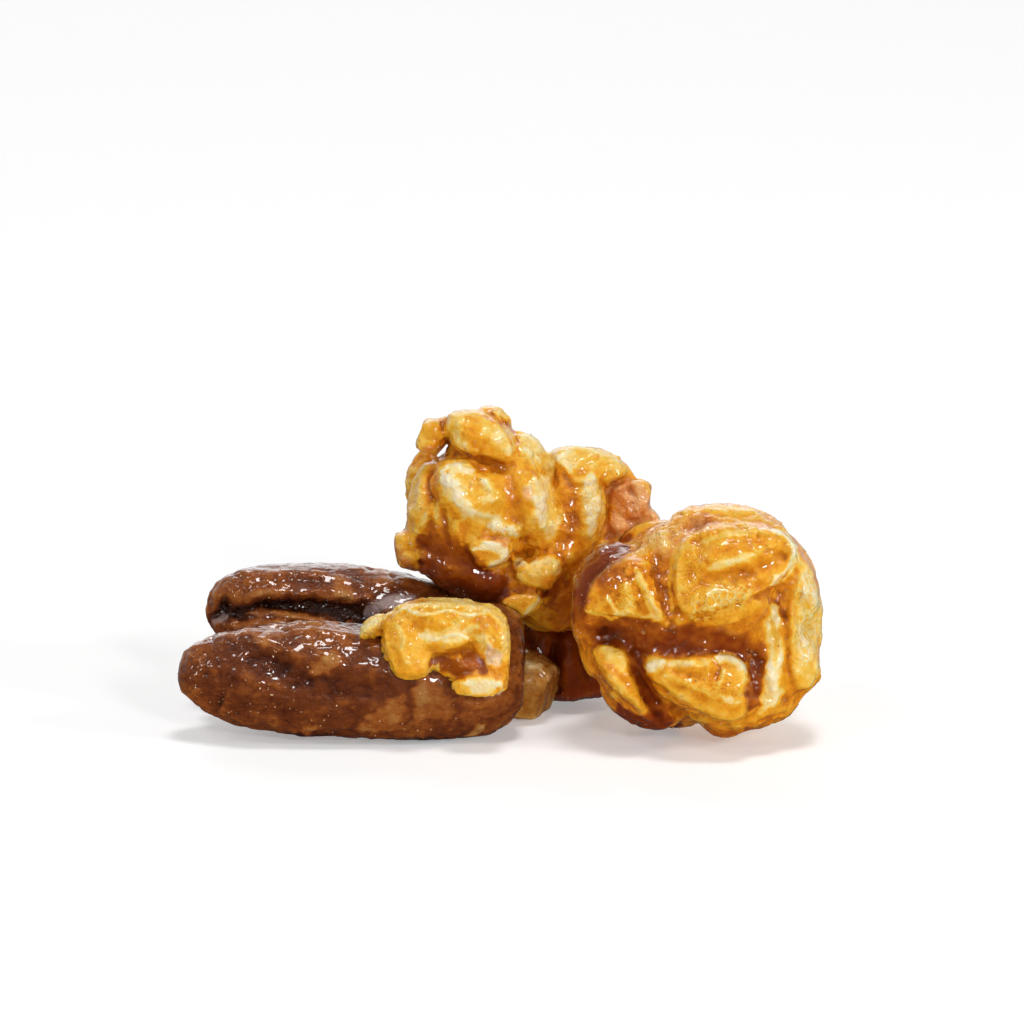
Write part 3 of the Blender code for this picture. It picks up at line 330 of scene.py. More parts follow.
BUTTERFLY = {
    "centre": (-2.05, 22.3, -1.7),
    "blend": 0.8,
    "inset": 0.1,
    "step": 0.19,
    "seed": 47,
    "glaze": 0.44,
    "crinkle": 0.12,
    "far_relief": 0.5,
    "slits": {"ear": (((-3.35, 6.2), (-3.8, 5.6), (-4.3, 5.0)), 0.17)},
    "lobes": {
        "main_body": ((-0.2, -0.9, 0.0), (7.0, 7.2, 7.2), 0),
        "crown_petal": ((0.0, 7.1, 3.4), (3.9, 2.5, 3.4), -28),
        "crown_back": ((-0.8, 7.3, 0.2), (3.9, 2.4, 4.0), 10),
        "left_ear": ((-5.0, 6.9, 1.4), (1.35, 1.7, 2.4), -24, 5),
        "ear_root": ((-3.9, 8.0, 0.8), (1.7, 0.9, 2.2), 14, 4),
        "top_ridge": ((1.5, 8.8, 1.6), (1.9, 1.4, 2.8), -30),
        "right_shoulder": ((4.8, 0.8, 1.9), (2.7, 7.2, 4.6), 22),
        "shoulder_top": ((4.3, 4.9, 0.8), (2.5, 2.8, 3.4), 35),
        "left_flap": ((-5.7, -0.4, 0.6), (1.9, 4.8, 4.4), -6),
        "left_corner": ((-7.2, -4.5, 0.4), (1.75, 2.0, 2.8), 12, 4),
        "corner_fill": ((-6.0, -5.5, 0.6), (2.1, 1.5, 3.2), -28),
        "dark_belly": ((-0.7, -6.8, 0.7), (5.8, 3.2, 4.9), -20),
        "pale_centre": ((-1.0, 1.2, 5.2), (4.4, 3.4, 2.6), -30),
        "small_tube": ((1.2, -4.8, 5.4), (2.1, 1.6, 2.0), 0),
        "low_petal": ((5.9, -7.1, 3.4), (2.7, 2.0, 2.8), 20),
        "low_petal_lip": ((4.3, -10.1, 3.4), (2.7, 1.6, 2.4), 24),
        "neck": ((8.4, -3.4, 0.0), (3.6, 6.4, 4.6), -4),
        "second_lobe": ((11.5, 3.3, -1.2), (4.3, 2.7, 4.2), -12),
        "second_root": ((8.7, 4.1, -0.8), (2.5, 1.9, 2.8), 8),
        "neck_fill": ((8.8, 1.2, 1.0), (2.2, 4.6, 3.6), 8),
        "second_ridge": ((11.2, -0.6, 1.4), (1.9, 4.2, 3.2), -4),
        "hull_lobe": ((15.3, 0.6, -2.0), (2.2, 2.3, 3.0), -14, 5),
        "hull_tip": ((16.6, -1.4, -2.4), (2.6, 1.5, 2.6), -38, 4),
        "hull_base": ((13.2, -3.2, -1.6), (3.6, 3.0, 3.2), 0),
        "low_neck": ((7.6, -9.2, -0.6), (4.8, 4.2, 4.0), 0),
        "back_left_lobe": ((-3.4, 1.6, -5.0), (4.4, 5.0, 3.8), 15),
        "back_right_lobe": ((3.6, 2.8, -5.0), (4.4, 4.2, 3.8), -20),
        "back_low_lobe": ((0.6, -5.0, -4.8), (5.2, 3.4, 3.8), 5),
        "back_wing": ((10.6, -1.2, -4.4), (3.8, 4.4, 3.2), 10),
    },
    "patches": {
        "crown": (
            ((-3.8, 7.6), (-3.2, 9.2), (-1.6, 9.8), (0.3, 9.7), (1.9, 8.5), (3.3, 7.0), (3.3, 4.7), (2.3, 4.3),
            (0.3, 4.8), (-1.0, 4.9), (-2.4, 5.6), (-3.2, 6.4)), 0.4, 0.15
        ),
        "ear": (
            ((-6.4, 8.0), (-4.7, 8.7), (-3.9, 8.2), (-4.0, 7.0), (-5.2, 5.0), (-6.1, 5.2), (-6.4, 6.6)), 0.3, 0.1
        ),
        "bowl": (
            ((-4.2, 3.4), (-2.4, 4.3), (-0.6, 3.6), (1.6, 2.2), (2.5, 0.4), (1.6, -1.2), (-0.4, -1.4),
            (-2.4, -0.2), (-3.6, 1.6)), 0.2, 0.0
        ),
        "tube": (
            ((-0.9, -3.9), (1.0, -3.6), (2.5, -4.0), (2.9, -5.3), (1.7, -6.2), (0.2, -6.6),
            (-0.6, -5.6)), 0.6, 0.2
        ),
        "nub": (((3.2, -5.6), (4.3, -5.3), (4.9, -6.0), (4.5, -6.8), (3.4, -6.7)), 0.6, 0.0),
        "low_petal": (
            ((3.7, -7.1), (5.4, -5.7), (7.4, -5.1), (8.4, -5.9), (8.0, -7.9), (6.6, -8.9), (4.3, -8.1)), 0.45, 0.1
        ),
        "lip": (
            ((1.9, -9.8), (3.9, -8.8), (5.8, -8.6), (6.2, -9.8), (5.0, -11.0), (3.7, -11.6),
            (2.7, -10.8)), 0.4, 0.15
        ),
        "second_lobe": (
            ((7.4, 5.2), (8.6, 5.9), (10.5, 6.1), (13.3, 5.3), (15.1, 4.1), (15.2, 3.3), (14.1, 2.3), (12.0, 2.4),
            (10.1, 1.9), (8.6, 3.3)), 0.35, 0.1
        ),
        "flake_a": (((4.4, 1.9), (5.1, 2.0), (5.2, 0.7), (4.9, 0.1), (4.3, 0.7)), 0.35, 0.0),
        "flake_b": (((1.4, -3.2), (2.4, -3.3), (3.2, -4.0), (2.8, -4.4), (1.8, -4.0)), 0.3, 0.0),
        "hull_plate": (
            ((13.2, 1.0), (14.9, 2.4), (16.2, 2.6), (17.3, 2.0), (17.4, 0.4), (15.8, -1.6), (14.6, -3.4),
            (13.4, -2.6)), 0.3, 0.1
        ),
    },
    "strokes": {
        "crown_shadow": (((-3.4, 5.4), (-1.4, 4.3), (0.8, 3.9), (3.0, 3.5), (4.0, 4.4)), 0.7, -0.2),
        "crown_line": (((0.6, 9.2), (1.4, 7.6), (0.4, 5.8)), 0.5, -0.25),
        "crown_fold": (((-2.6, 6.6), (-1.2, 6.0), (-0.2, 5.0)), 0.4, 0.25),
        "ear_slit": (((-2.9, 6.9), (-3.6, 5.7), (-4.6, 4.5)), 0.5, -0.8),
        "crown_cleft": (((-3.6, 9.2), (-3.7, 7.6), (-3.1, 6.4)), 0.5, -0.5),
        "ridge_seam": (((0.2, 9.9), (1.5, 8.9), (3.2, 7.8), (4.0, 5.8)), 0.5, -0.4),
        "bowl_hollow": (((-1.2, 2.2), (0.0, 1.6), (0.6, 0.8)), 1.1, -0.25),
        "white_crest": (((-4.0, 3.2), (-3.0, 1.5), (-2.0, 0.0), (-0.2, -1.2)), 1.0, 0.3),
        "bowl_ridge": (((0.2, 2.9), (1.4, 1.6), (1.6, 0.2)), 0.5, 0.3),
        "centre_stripe": (((2.2, 3.6), (3.5, 2.4), (3.8, 0.4), (3.2, -1.8)), 0.9, -0.1),
        "shoulder_crest": (((5.2, 4.4), (5.9, 1.8), (5.8, -1.2), (5.2, -3.6)), 1.0, 0.25),
        "shoulder_fold": (((7.4, 4.0), (7.6, 1.0), (7.0, -2.0)), 0.6, -0.35),
        "speckle_ridge": (((1.0, -2.2), (2.6, -2.6), (4.0, -3.4)), 0.6, 0.3),
        "neck_valley": (((7.4, 5.2), (8.6, 2.8), (9.1, 0.0), (9.0, -3.0), (8.4, -5.6)), 1.2, -0.15),
        "second_crest": (((10.6, 3.6), (11.2, 1.0), (11.2, -1.6), (10.8, -4.0)), 1.0, 0.3),
        "hull_seam": (((13.4, 2.2), (12.9, 0.6), (13.0, -2.0), (13.6, -4.0)), 0.6, -0.5),
        "hull_fold": (((15.0, 2.0), (15.8, 0.2), (15.2, -2.2)), 0.35, -0.35),
        "flap_groove": (((-4.9, 4.0), (-5.0, 1.8), (-4.6, 0.0)), 0.8, -0.3),
        "flap_wrinkle_a": (((-6.4, 3.4), (-6.8, 1.4), (-7.4, -0.4)), 0.35, -0.3),
        "flap_wrinkle_b": (((-4.8, 0.2), (-5.6, -1.6), (-6.4, -3.2)), 0.3, 0.35),
        "flap_wrinkle_c": (((-3.6, -0.2), (-3.5, -2.2), (-3.0, -4.2)), 0.35, -0.35),
        "flap_wrinkle_d": (((-2.4, -1.4), (-2.2, -3.0), (-1.8, -4.6)), 0.3, 0.3),
        "corner_groove": (((-6.4, -2.8), (-6.0, -4.4), (-6.1, -6.6)), 0.5, -0.35),
        "tube_hole": (((0.0, -5.4), (1.0, -5.3), (1.9, -5.4)), 0.6, -0.55),
        "second_notch": (((16.2, 3.2), (14.7, 2.6), (13.4, 2.0)), 0.35, -0.8),
        "belly_line": (((-4.4, -4.2), (-2.2, -5.6), (-0.6, -6.6), (1.8, -6.9)), 0.7, -0.15),
        "petal_gap": (((3.2, -8.5), (5.0, -8.8), (7.0, -9.0)), 0.45, -0.5),
    },
    "paint": {
        "crown_base": (((-1.8, 8.6), (0.6, 8.2), (2.2, 6.2)), 2.0, 0.3, 0.7),
        "crown_orange": (((-1.2, 8.8), (-0.6, 7.4), (0.2, 5.8)), 0.9, 0.52, 0.85),
        "crown_pale_left": (((-2.6, 7.4), (-2.2, 6.2), (-1.2, 5.6)), 0.55, 0.2, 0.7),
        "crown_pale_right": (((1.4, 7.6), (2.6, 6.4), (2.8, 5.2)), 0.55, 0.2, 0.7),
        "crown_top": (((-3.0, 9.0), (-1.0, 9.9), (0.6, 9.9)), 0.5, 0.34, 0.7),
        "ear": (((-6.0, 7.4), (-5.0, 8.0), (-4.6, 6.6)), 1.2, 0.46, 0.9),
        "ear_red": (((-5.6, 5.6), (-4.4, 6.0), (-3.6, 6.6)), 0.6, 0.6, 0.7),
        "crown_shadow": (((-2.6, 5.0), (-1.2, 4.4), (0.8, 4.1), (2.8, 3.8), (3.6, 4.6)), 0.65, 0.5, 0.8),
        "ridge": (((0.6, 10.0), (1.9, 9.8), (2.7, 8.8)), 0.6, 0.3, 0.7),
        "ridge_seam": (((0.4, 9.8), (1.6, 8.9), (3.3, 7.6), (3.8, 6.0)), 0.4, 0.56, 0.8),
        "shoulder": (((4.4, 7.0), (6.4, 5.4), (7.6, 3.0), (7.8, 0.0), (7.2, -3.0)), 1.4, 0.15, 0.85),
        "stripe": (((-0.4, 3.9), (1.6, 3.2), (3.2, 2.2), (3.2, 0.0), (2.0, -1.4)), 1.4, 0.45, 0.85),
        "white": (((-4.0, 3.1), (-3.0, 1.7), (-2.1, 0.3), (-0.6, -0.9)), 1.0, 0.08, 0.9),
        "white_low": (((-0.8, -0.9), (0.8, -1.4), (2.0, -1.8)), 0.7, 0.13, 0.8),
        "white_top": (((-3.4, 3.6), (-2.2, 3.9), (-1.0, 3.3)), 0.8, 0.12, 0.85),
        "bowl_gold": (((-1.4, 2.4), (-0.4, 1.4), (-0.4, 0.2)), 0.8, 0.37, 0.85),
        "bowl_pale": (((0.2, 2.4), (0.9, 1.3), (0.6, 0.2)), 0.7, 0.18, 0.7),
        "shoulder_pale": (((5.8, 2.6), (5.9, 1.2), (6.6, -0.4), (6.4, -2.0)), 0.9, 0.12, 0.85),
        "shoulder_spot": (((6.6, 1.0), (6.9, -0.4), (6.4, -1.6)), 0.6, 0.16, 0.7),
        "speckle_pale": (((0.6, -1.8), (2.4, -2.2), (4.4, -3.0)), 0.8, 0.16, 0.7),
        "low_gold": (((-1.6, -2.6), (0.4, -3.2), (3.6, -4.6), (6.0, -4.6)), 0.8, 0.38, 0.7),
        "nub": (((3.6, -6.0), (4.6, -6.0)), 0.55, 0.12, 0.85),
        "flap": (((-6.8, 3.2), (-7.0, 0.6), (-7.4, -1.8)), 1.5, 0.34, 0.85),
        "flap_inner": (((-5.0, 3.6), (-5.0, 1.6), (-4.2, -1.2), (-3.4, -3.2)), 1.1, 0.48, 0.9),
        "flap_hollow": (((-5.1, 3.2), (-4.9, 1.8), (-4.9, 0.6)), 0.5, 0.6, 0.75),
        "flap_streak_a": (((-6.6, 2.6), (-6.4, 0.4)), 0.3, 0.24, 0.8),
        "flap_thread_b": (((-5.6, -1.2), (-6.0, -2.4), (-6.6, -3.2)), 0.45, 0.24, 0.85),
        "flap_thread_c": (((-4.7, 0.4), (-4.3, -0.5), (-4.4, -1.4)), 0.3, 0.22, 0.85),
        "flap_thread_d": (((-3.4, -0.9), (-3.1, -2.0)), 0.2, 0.24, 0.8),
        "flap_dark": (((-4.9, -1.8), (-4.6, -3.0), (-5.2, -4.0)), 0.5, 0.62, 0.8),
        "flap_streak_b": (((-2.6, -1.6), (-2.4, -3.0)), 0.35, 0.3, 0.7),
        "flap_streak_c": (((-5.8, -1.6), (-6.4, -3.4)), 0.35, 0.34, 0.7),
        "belly_high": (((-5.6, -2.8), (-4.2, -3.0), (-2.4, -4.0)), 1.2, 0.56, 0.85),
        "belly_top": (((-5.8, -4.0), (-4.0, -4.4), (-1.8, -5.4), (0.4, -7.2)), 1.4, 0.7, 0.95),
        "belly": (((-5.6, -6.2), (-4.0, -7.6), (-1.2, -8.2), (2.0, -8.0)), 1.8, 0.78, 0.95),
        "belly_low": (((-3.8, -8.4), (0.2, -9.2), (3.4, -9.6)), 1.0, 0.87, 0.85),
        "tube": (((-0.6, -4.4), (1.0, -4.2), (2.4, -4.6), (2.7, -5.4), (1.9, -6.1), (0.4, -6.5)), 0.55, 0.1, 0.9),
        "tube_hole": (((0.1, -5.5), (1.0, -5.3), (1.8, -5.5)), 0.5, 0.38, 0.95),
        "corner": (((-8.4, -3.4), (-7.8, -5.0), (-7.6, -6.2)), 1.0, 0.4, 0.9),
        "corner_low": (((-8.0, -6.0), (-6.8, -6.8)), 0.7, 0.66, 0.8),
        "low_petal": (((4.4, -7.4), (6.0, -6.4), (7.6, -6.0), (7.2, -7.6), (5.6, -8.0)), 0.9, 0.32, 0.85),
        "low_petal_pale": (((4.6, -6.9), (6.4, -5.9), (8.0, -5.8)), 0.4, 0.24, 0.7),
        "lip": (((2.6, -9.9), (4.2, -9.3), (5.6, -9.4), (4.6, -10.6)), 0.9, 0.53, 0.9),
        "lip_rim": (((5.9, -8.9), (5.9, -9.9), (4.6, -11.1)), 0.25, 0.14, 0.7),
        # Painted shade below the neck.
        "under_neck_painted_shade": (((7.6, -8.6), (9.4, -10.2), (8.4, -12.0)), 2.2, 0.65, 0.9),
        "neck_valley": (((8.0, 4.2), (8.9, 1.6), (9.2, -1.4), (8.8, -4.2), (9.4, -6.0)), 1.1, 0.55, 0.95),
        "neck_deep": (((9.1, 0.6), (9.3, -1.8), (9.0, -3.6)), 0.5, 0.6, 0.6),
        "second_tan": (((8.0, 4.6), (9.4, 4.8), (9.2, 3.6)), 0.9, 0.16, 0.85),
        "second_gold": (((10.4, 4.4), (12.4, 4.4), (14.4, 3.6)), 1.0, 0.31, 0.85),
        "second_rim": (((8.6, 5.7), (10.6, 5.9), (13.2, 5.3), (15.0, 4.2)), 0.35, 0.2, 0.7),
        "second_pale": (((11.4, 3.0), (11.2, 1.2), (11.6, -0.6), (11.4, -2.6)), 1.0, 0.2, 0.85),
        "second_low": (((11.2, -3.0), (12.2, -3.8)), 0.6, 0.3, 0.7),
        "hull": (((14.0, 1.2), (15.6, 0.6), (16.6, -0.6), (15.0, -2.4), (13.6, -2.8)), 1.8, 0.46, 0.9),
        "hull_arm": (((8.6, -8.0), (9.6, -5.9), (11.3, -4.8), (12.9, -4.2)), 0.6, 0.5, 0.7),
    },
    "foam": {
        "bowl": (((-2.6, 2.6), (0.0, 1.8), (1.6, -1.2)), 1.4, 0.4, 1.0),
        "low": (((1.0, -2.2), (3.6, -3.0)), 0.8, 0.7, 1.0),
        "second": (((11.4, 2.6), (11.4, -2.4)), 1.0, 0.5, 1.0),
    },
    "hull": {
        "hull": (((14.0, 1.4), (15.6, 0.8), (16.8, -0.8), (15.2, -2.2), (13.8, -2.8)), 1.9, 0.85, 1.0),
        "flake_a": (((4.8, 1.7), (4.9, 0.6)), 0.5, 0.75, 1.0),
        "flake_b": (((1.6, -3.4), (2.8, -4.0)), 0.4, 0.75, 1.0),
        "corner": (((-8.6, -4.4), (-8.2, -5.6), (-7.2, -6.4)), 0.9, 0.5, 1.0),
        "ear": (((-5.8, 5.6), (-4.6, 5.6)), 0.5, 0.5, 1.0),
    },
    "grains": {
        "flap": (((-6.0, 1.0), (-4.8, -0.4), (-4.0, -2.6)), 1.0, 1.0, 0.9),
        "corner": (((-8.0, -3.4), (-7.0, -4.4)), 0.7, 0.8, 0.8),
        "crown": (((-2.6, 6.2), (-0.6, 5.2)), 0.6, 0.6, 0.8),
        "low": (((1.6, -6.4), (4.0, -7.4)), 0.8, 0.8, 0.8),
        "neck": (((8.6, -0.4), (9.2, -1.6), (9.0, -2.8)), 0.8, 1.0, 1.0),
    },
}

CRUMB = {
    "centre": (-5.1, 7.9, 11.0),
    "blend": 0.7,
    "inset": 0.0,
    "step": 0.14,
    "seed": 83,
    "glaze": 0.42,
    "edge_tone": 0.03,
    "crinkle": 0.1,
    "chip_size": 1.1,
    "far_relief": 0.4,
    "lobes": {
        "slab": ((-0.5, 2.0, -0.9), (6.2, 3.0, 3.2), -3),
        "top": ((0.0, 3.0, -2.6), (5.4, 1.9, 3.4), -3),
        "right_shoulder": ((4.2, 0.6, -0.2), (2.2, 3.7, 2.8), 8),
        "left_body": ((-4.4, -0.2, 0.0), (2.6, 3.2, 2.4), 6),
        "left_foot": ((-3.7, -1.9, 0.6), (2.0, 1.5, 1.8), 0),
        "right_stem": ((4.6, -2.4, 0.7), (1.5, 2.4, 2.0), 6),
        "middle_stem": ((2.6, -1.5, 0.6), (2.3, 1.7, 1.9), 0),
        "right_foot": ((3.0, -3.8, 1.2), (2.8, 1.4, 1.8), 6),
        "tail_flake": ((-7.8, 1.9, -0.8), (2.0, 1.0, 1.9), 40),
        "caramel_web": ((0.8, -1.9, -0.6), (3.6, 1.9, 1.7), 0),
    },
    "patches": {
        "body": (
            ((-6.6, 2.4), (-4.4, 4.2), (-1.4, 4.7), (2.8, 4.4), (5.3, 3.0), (6.1, 1.2), (5.4, -0.6), (3.0, 0.4),
            (0.6, -0.6), (-1.6, -1.0), (-2.6, -2.8), (-5.4, -2.8), (-6.6, -0.4)), 0.25, 0.15
        ),
        "foot": (
            ((0.8, -3.4), (2.6, -3.0), (4.6, -3.4), (5.6, -3.2), (5.0, -4.8), (2.8, -5.1), (1.0, -4.4)), 0.3, 0.1
        ),
    },
    "strokes": {
        "hollow": (((-4.4, 2.2), (-1.6, 1.4), (1.4, 1.8), (3.2, 0.6)), 0.9, -0.35),
        "ripple_a": (((-3.6, 3.4), (-0.6, 3.0), (2.4, 3.2)), 0.35, 0.2),
        "ripple_b": (((-2.8, 0.4), (-0.4, 0.2), (2.0, 0.9)), 0.4, 0.25),
        "ripple_c": (((1.8, 2.4), (3.2, 1.8), (4.2, 0.8)), 0.35, 0.2),
        "stem_groove": (((1.2, -1.4), (2.6, -1.0), (3.6, -2.0)), 0.7, -0.5),
        "tail_fold": (((-8.8, 1.4), (-7.6, 2.2), (-6.8, 2.9)), 0.3, 0.25),
        "wave_a": (((-4.6, 3.9), (-2.6, 3.3), (-0.6, 3.7), (1.6, 3.3), (3.6, 3.5)), 0.25, 0.25),
        "wave_b": (((-3.0, 1.2), (-1.2, 0.8), (0.8, 1.3), (2.2, 0.6)), 0.25, 0.25),
        "wave_c": (((-5.6, 2.4), (-4.6, 1.0), (-4.8, -0.8), (-3.8, -1.8)), 0.3, 0.25),
        "wave_d": (((3.0, 3.0), (4.2, 1.8), (4.9, 0.4)), 0.25, 0.25),
    },
    "paint": {
        "rim": (
            ((-6.6, 2.8), (-4.6, 4.3), (-1.4, 4.7), (2.8, 4.4), (5.2, 3.0), (5.9, 1.0),
            (5.6, -1.2)), 0.7, 0.23, 0.85
        ),
        "gold_a": (((-5.2, 1.8), (-3.6, 3.0), (-0.4, 2.8)), 0.9, 0.38, 0.8),
        "gold_b": (((-2.8, 1.0), (0.4, 1.4), (2.6, 2.2)), 0.9, 0.15, 0.85),
        "pale_a": (((-1.2, 2.2), (0.8, 2.6), (2.4, 3.4)), 0.4, 0.2, 0.7),
        "pale_b": (((2.8, 1.2), (3.8, 0.2)), 0.6, 0.16, 0.7),
        "amber_a": (((-3.4, 2.2), (-1.6, 2.0), (0.2, 2.2)), 0.35, 0.5, 0.6),
        "amber_b": (((1.2, 1.9), (2.6, 2.6), (3.8, 1.6)), 0.3, 0.48, 0.6),
        "wave_a": (((-4.6, 3.9), (-2.6, 3.3), (-0.6, 3.7), (1.6, 3.3), (3.6, 3.5)), 0.2, 0.12, 0.7),
        "wave_b": (((-3.0, 1.2), (-1.2, 0.8), (0.8, 1.3), (2.2, 0.6)), 0.2, 0.08, 0.8),
        "wave_c": (((-5.6, 2.4), (-4.6, 1.0), (-4.8, -0.8), (-3.8, -1.8)), 0.22, 0.2, 0.6),
        "left_pale": (((-5.4, 0.0), (-5.4, -2.0), (-4.0, -2.5), (-2.8, -2.2)), 0.8, 0.4, 0.8),
        "left_gold": (((-5.9, 1.4), (-6.2, -0.6)), 0.4, 0.42, 0.6),
        "notch": (((-1.6, -1.7), (-0.4, -1.8), (1.0, -2.4), (2.6, -1.6), (3.4, -2.4)), 1.0, 0.71, 0.95),
        "notch_top": (((-0.6, -0.7), (1.4, -0.5), (3.2, -0.9)), 0.5, 0.56, 0.7),
        "tooth": (((-1.8, -2.7), (-1.2, -1.9)), 0.35, 0.14, 0.9),
        "stem": (((4.6, -1.6), (4.9, -2.8)), 0.8, 0.5, 0.8),
        "foot": (((1.4, -4.0), (3.0, -4.2), (5.0, -3.8)), 0.8, 0.05, 0.9),
        "husk": (((4.1, -0.2), (4.7, -1.6)), 0.9, 0.02, 0.9),
        "foot_gold": (((0.8, -3.9), (2.0, -4.6)), 0.4, 0.4, 0.7),
        "tail": (((-9.2, 1.4), (-8.0, 2.3), (-6.8, 2.9)), 0.9, 0.16, 0.8),
    },
    "foam": {"rim": (((-5.0, 3.9), (0.0, 4.4), (4.4, 3.6)), 0.8, 0.5, 1.0)},
    "grains": {
        "tail": (((-9.0, 1.4), (-7.0, 2.8)), 0.8, 1.0, 0.9),
        "notch": (((-1.6, -2.0), (1.0, -1.4), (3.0, -2.2)), 0.8, 1.0, 0.9),
    },
    "hull": {
        "husk": (((4.1, -0.2), (4.7, -1.6)), 0.9, 0.55, 1.0),
    },
}

DARK = {
    "centre": (6.6, 7.3, -7.1),
    "blend": 0.8,
    "inset": 0.1,
    "seed": 29,
    # A very dark glaze: dark caramel, and painted shade for the shade this kernel lies in below the others.
    "glaze": 0.77,
    "edge_tone": 0.03,
    "crinkle": 0.12,
    "far_relief": 0.5,
    "lobes": {
        "core": ((0.0, 0.0, 0.0), (5.8, 5.5, 5.5), 0),
        "left_lobe": ((-3.4, -0.8, 1.4), (3.2, 3.9, 3.6), 10),
        "right_lobe": ((3.6, -1.2, 0.8), (3.0, 3.9, 3.8), -12),
        "front_lobe": ((0.6, -2.4, 2.6), (3.2, 2.9, 3.0), 0),
        "back_lobe": ((0.4, 0.2, -3.2), (4.2, 4.0, 3.2), 0),
    },
    "strokes": {
        "fold": (((-0.6, 4.0), (-1.2, 0.0), (-0.8, -5.0)), 0.7, -0.7),
        "fold_right": (((2.4, 3.4), (2.0, 0.4), (2.6, -3.4)), 0.5, -0.4),
        "fold_left": (((-3.6, 2.6), (-3.4, 0.0), (-3.6, -3.4)), 0.5, -0.35),
    },
    "paint": {
        "left_amber": (((-3.8, -1.4), (-3.2, -3.6)), 0.9, 0.7, 0.6),
    },
    "foam": {},
    "hull": {},
}

PIECE = {
    "centre": (3.2, 3.6, -0.4),
    "blend": 0.8,
    "inset": 0.05,
    "step": 0.15,
    "seed": 61,
    "lobes": {
        "core": ((-0.2, 0.3, 0.0), (4.2, 5.0, 4.2), -20, 3),
    },
    "facets": {
        "right": ((0.926, -0.377, 0.25), 1.85),
        "top_right": ((0.616, 0.788, 0.1), 3.2),
        "left": ((-0.94, 0.338, 0.2), 1.9),
        "bottom": ((-0.1, -0.99, 0.1), 3.45),
        "front_top": ((0.25, 0.75, 0.62), 2.6),
        "front_low": ((0.3, -0.35, 0.88), 2.5),
        "front_left": ((-0.6, 0.1, 0.8), 2.7),
    },
    "strokes": {
        "shelf": (((-2.6, 1.4), (-0.6, 1.6), (1.6, 0.4)), 0.7, -0.3),
        "edge": (((-1.6, 2.4), (0.6, 2.0), (2.4, 0.6)), 0.4, 0.25),
    },
    "tone": {
        # Painted highlight on the piece's upper side.
        "painted_highlight": (((-0.2, 2.6), (0.9, 1.6)), 0.8, 0.92, 0.7),
        "amber": (((1.9, 0.6), (1.2, -1.4), (0.6, -2.6)), 0.9, 0.5, 0.75),
        "low": (((-1.6, -2.4), (0.6, -2.8)), 0.7, 0.46, 0.7),
    },
    "sheen": {},
}


# Places


def upright(across, up, near):
    """What is seen across, up the picture and towards the eye, as across, depth and height."""
    depth = up * math.sin(VIEW_TILT) - near * math.cos(VIEW_TILT)
    return across, depth, up * math.cos(VIEW_TILT) + near * math.sin(VIEW_TILT)


def placed(across, up, near):
    """The same, from the middle of the base."""
    x, y, z = upright(across, up, near)
    return x - BASE_CENTRE[0], y - BASE_CENTRE[1], z


def seen(across, up, near):
    """The world point that lies this far across, up the picture and towards the eye, in metres."""
    return MM * Vector(placed(across, up, near))


def seen_points(points, centre):
    """The same for many points, given in millimetres from a piece's centre."""
    return MM * np.stack(placed(*(np.asarray(points) + np.asarray(centre)).T), axis=1)


# Noise


def smooth_step(low, high, value):
    share = np.clip((value - low) / (high - low), 0, 1)
    return share * share * (3 - 2 * share)


def value_noise(points, size, seed):
    """Smooth noise between -1 and 1 whose bumps are about this size."""
    table = np.random.default_rng(seed).uniform(-1, 1, 32 ** 3).astype(np.float32)
    spot = (points / size).astype(np.float32)
    cell = np.floor(spot)
    share = spot - cell
    share = share * share * (3 - 2 * share)
    low = cell.astype(np.int32) & 31
    high = (low + 1) & 31
    total = np.zeros(len(points), np.float32)
    for i in (0, 1):
        x = (high if i else low)[:, 0] << 10
        weight_x = share[:, 0] if i else 1 - share[:, 0]
        for j in (0, 1):
            xy = x + ((high if j else low)[:, 1] << 5)
            weight_xy = weight_x * (share[:, 1] if j else 1 - share[:, 1])
            total += weight_xy * (
                (1 - share[:, 2]) * table[xy + low[:, 2]] + share[:, 2] * table[xy + high[:, 2]])
    return total


def fractal_noise(points, size, seed, octaves=3):
    total, height, most = 0.0, 1.0, 0.0
    for octave in range(octaves):
        total = total + height * value_noise(points, size / 2**octave, seed + octave)
        most += height
        height *= 0.5
    return total / most


def warp_of(points, size, seed, reach):
    """A push of about this reach for each point, the same way for its neighbours."""
    return reach * np.stack([fractal_noise(points, size, seed + i, 2) for i in range(3)], axis=1)


def cell_edges(points, size, seed):
    """How far each point is from the wall between two rounded cells of this size, in cells."""
    jitter = np.random.default_rng(seed).uniform(0.1, 0.9, (16 ** 3, 3)).astype(np.float32)
    spot = (points / size).astype(np.float32)
    cell = np.floor(spot).astype(np.int32)
    nearest = np.full(len(points), 9.0, np.float32)
    second = nearest.copy()
    for step in np.ndindex(3, 3, 3):
        at = cell + (np.array(step, np.int32) - 1)
        number = ((at[:, 0] & 15) << 8) + ((at[:, 1] & 15) << 4) + (at[:, 2] & 15)
        away = at + jitter[number] - spot
        apart = np.sqrt(np.einsum("ij,ij->i", away, away))
        second = np.minimum(second, np.maximum(nearest, apart))
        nearest = np.minimum(nearest, apart)
    return second - nearest


# Lines and outlines in the picture


def smooth_path(points, closed=False, count=5):
    """More points on a smooth curve through the given ones."""
    points = np.asarray(points, float)
    before, after = (points[-1:], points[:2]) if closed else (points[:1], points[-1:])
    ends = np.vstack([before, points, after])
    path = []
    for p, start, end, n in zip(ends, ends[1:], ends[2:], ends[3:]):
        for t in np.arange(count) / count:
            path.append(0.5 * (
                2 * start + (end - p) * t + (2 * p - 5 * start + 4 * end - n) * t**2
                + (3 * start - p - 3 * end + n) * t**3))
    return np.array(path if closed else [*path, points[-1]])


def segment_distance(x, y, start, end):
    along = end - start
    share = np.clip(((x - start[0]) * along[0] + (y - start[1]) * along[1]) / max(along @ along, 1e-9), 0, 1)
    return np.hypot(x - start[0] - share * along[0], y - start[1] - share * along[1]), share


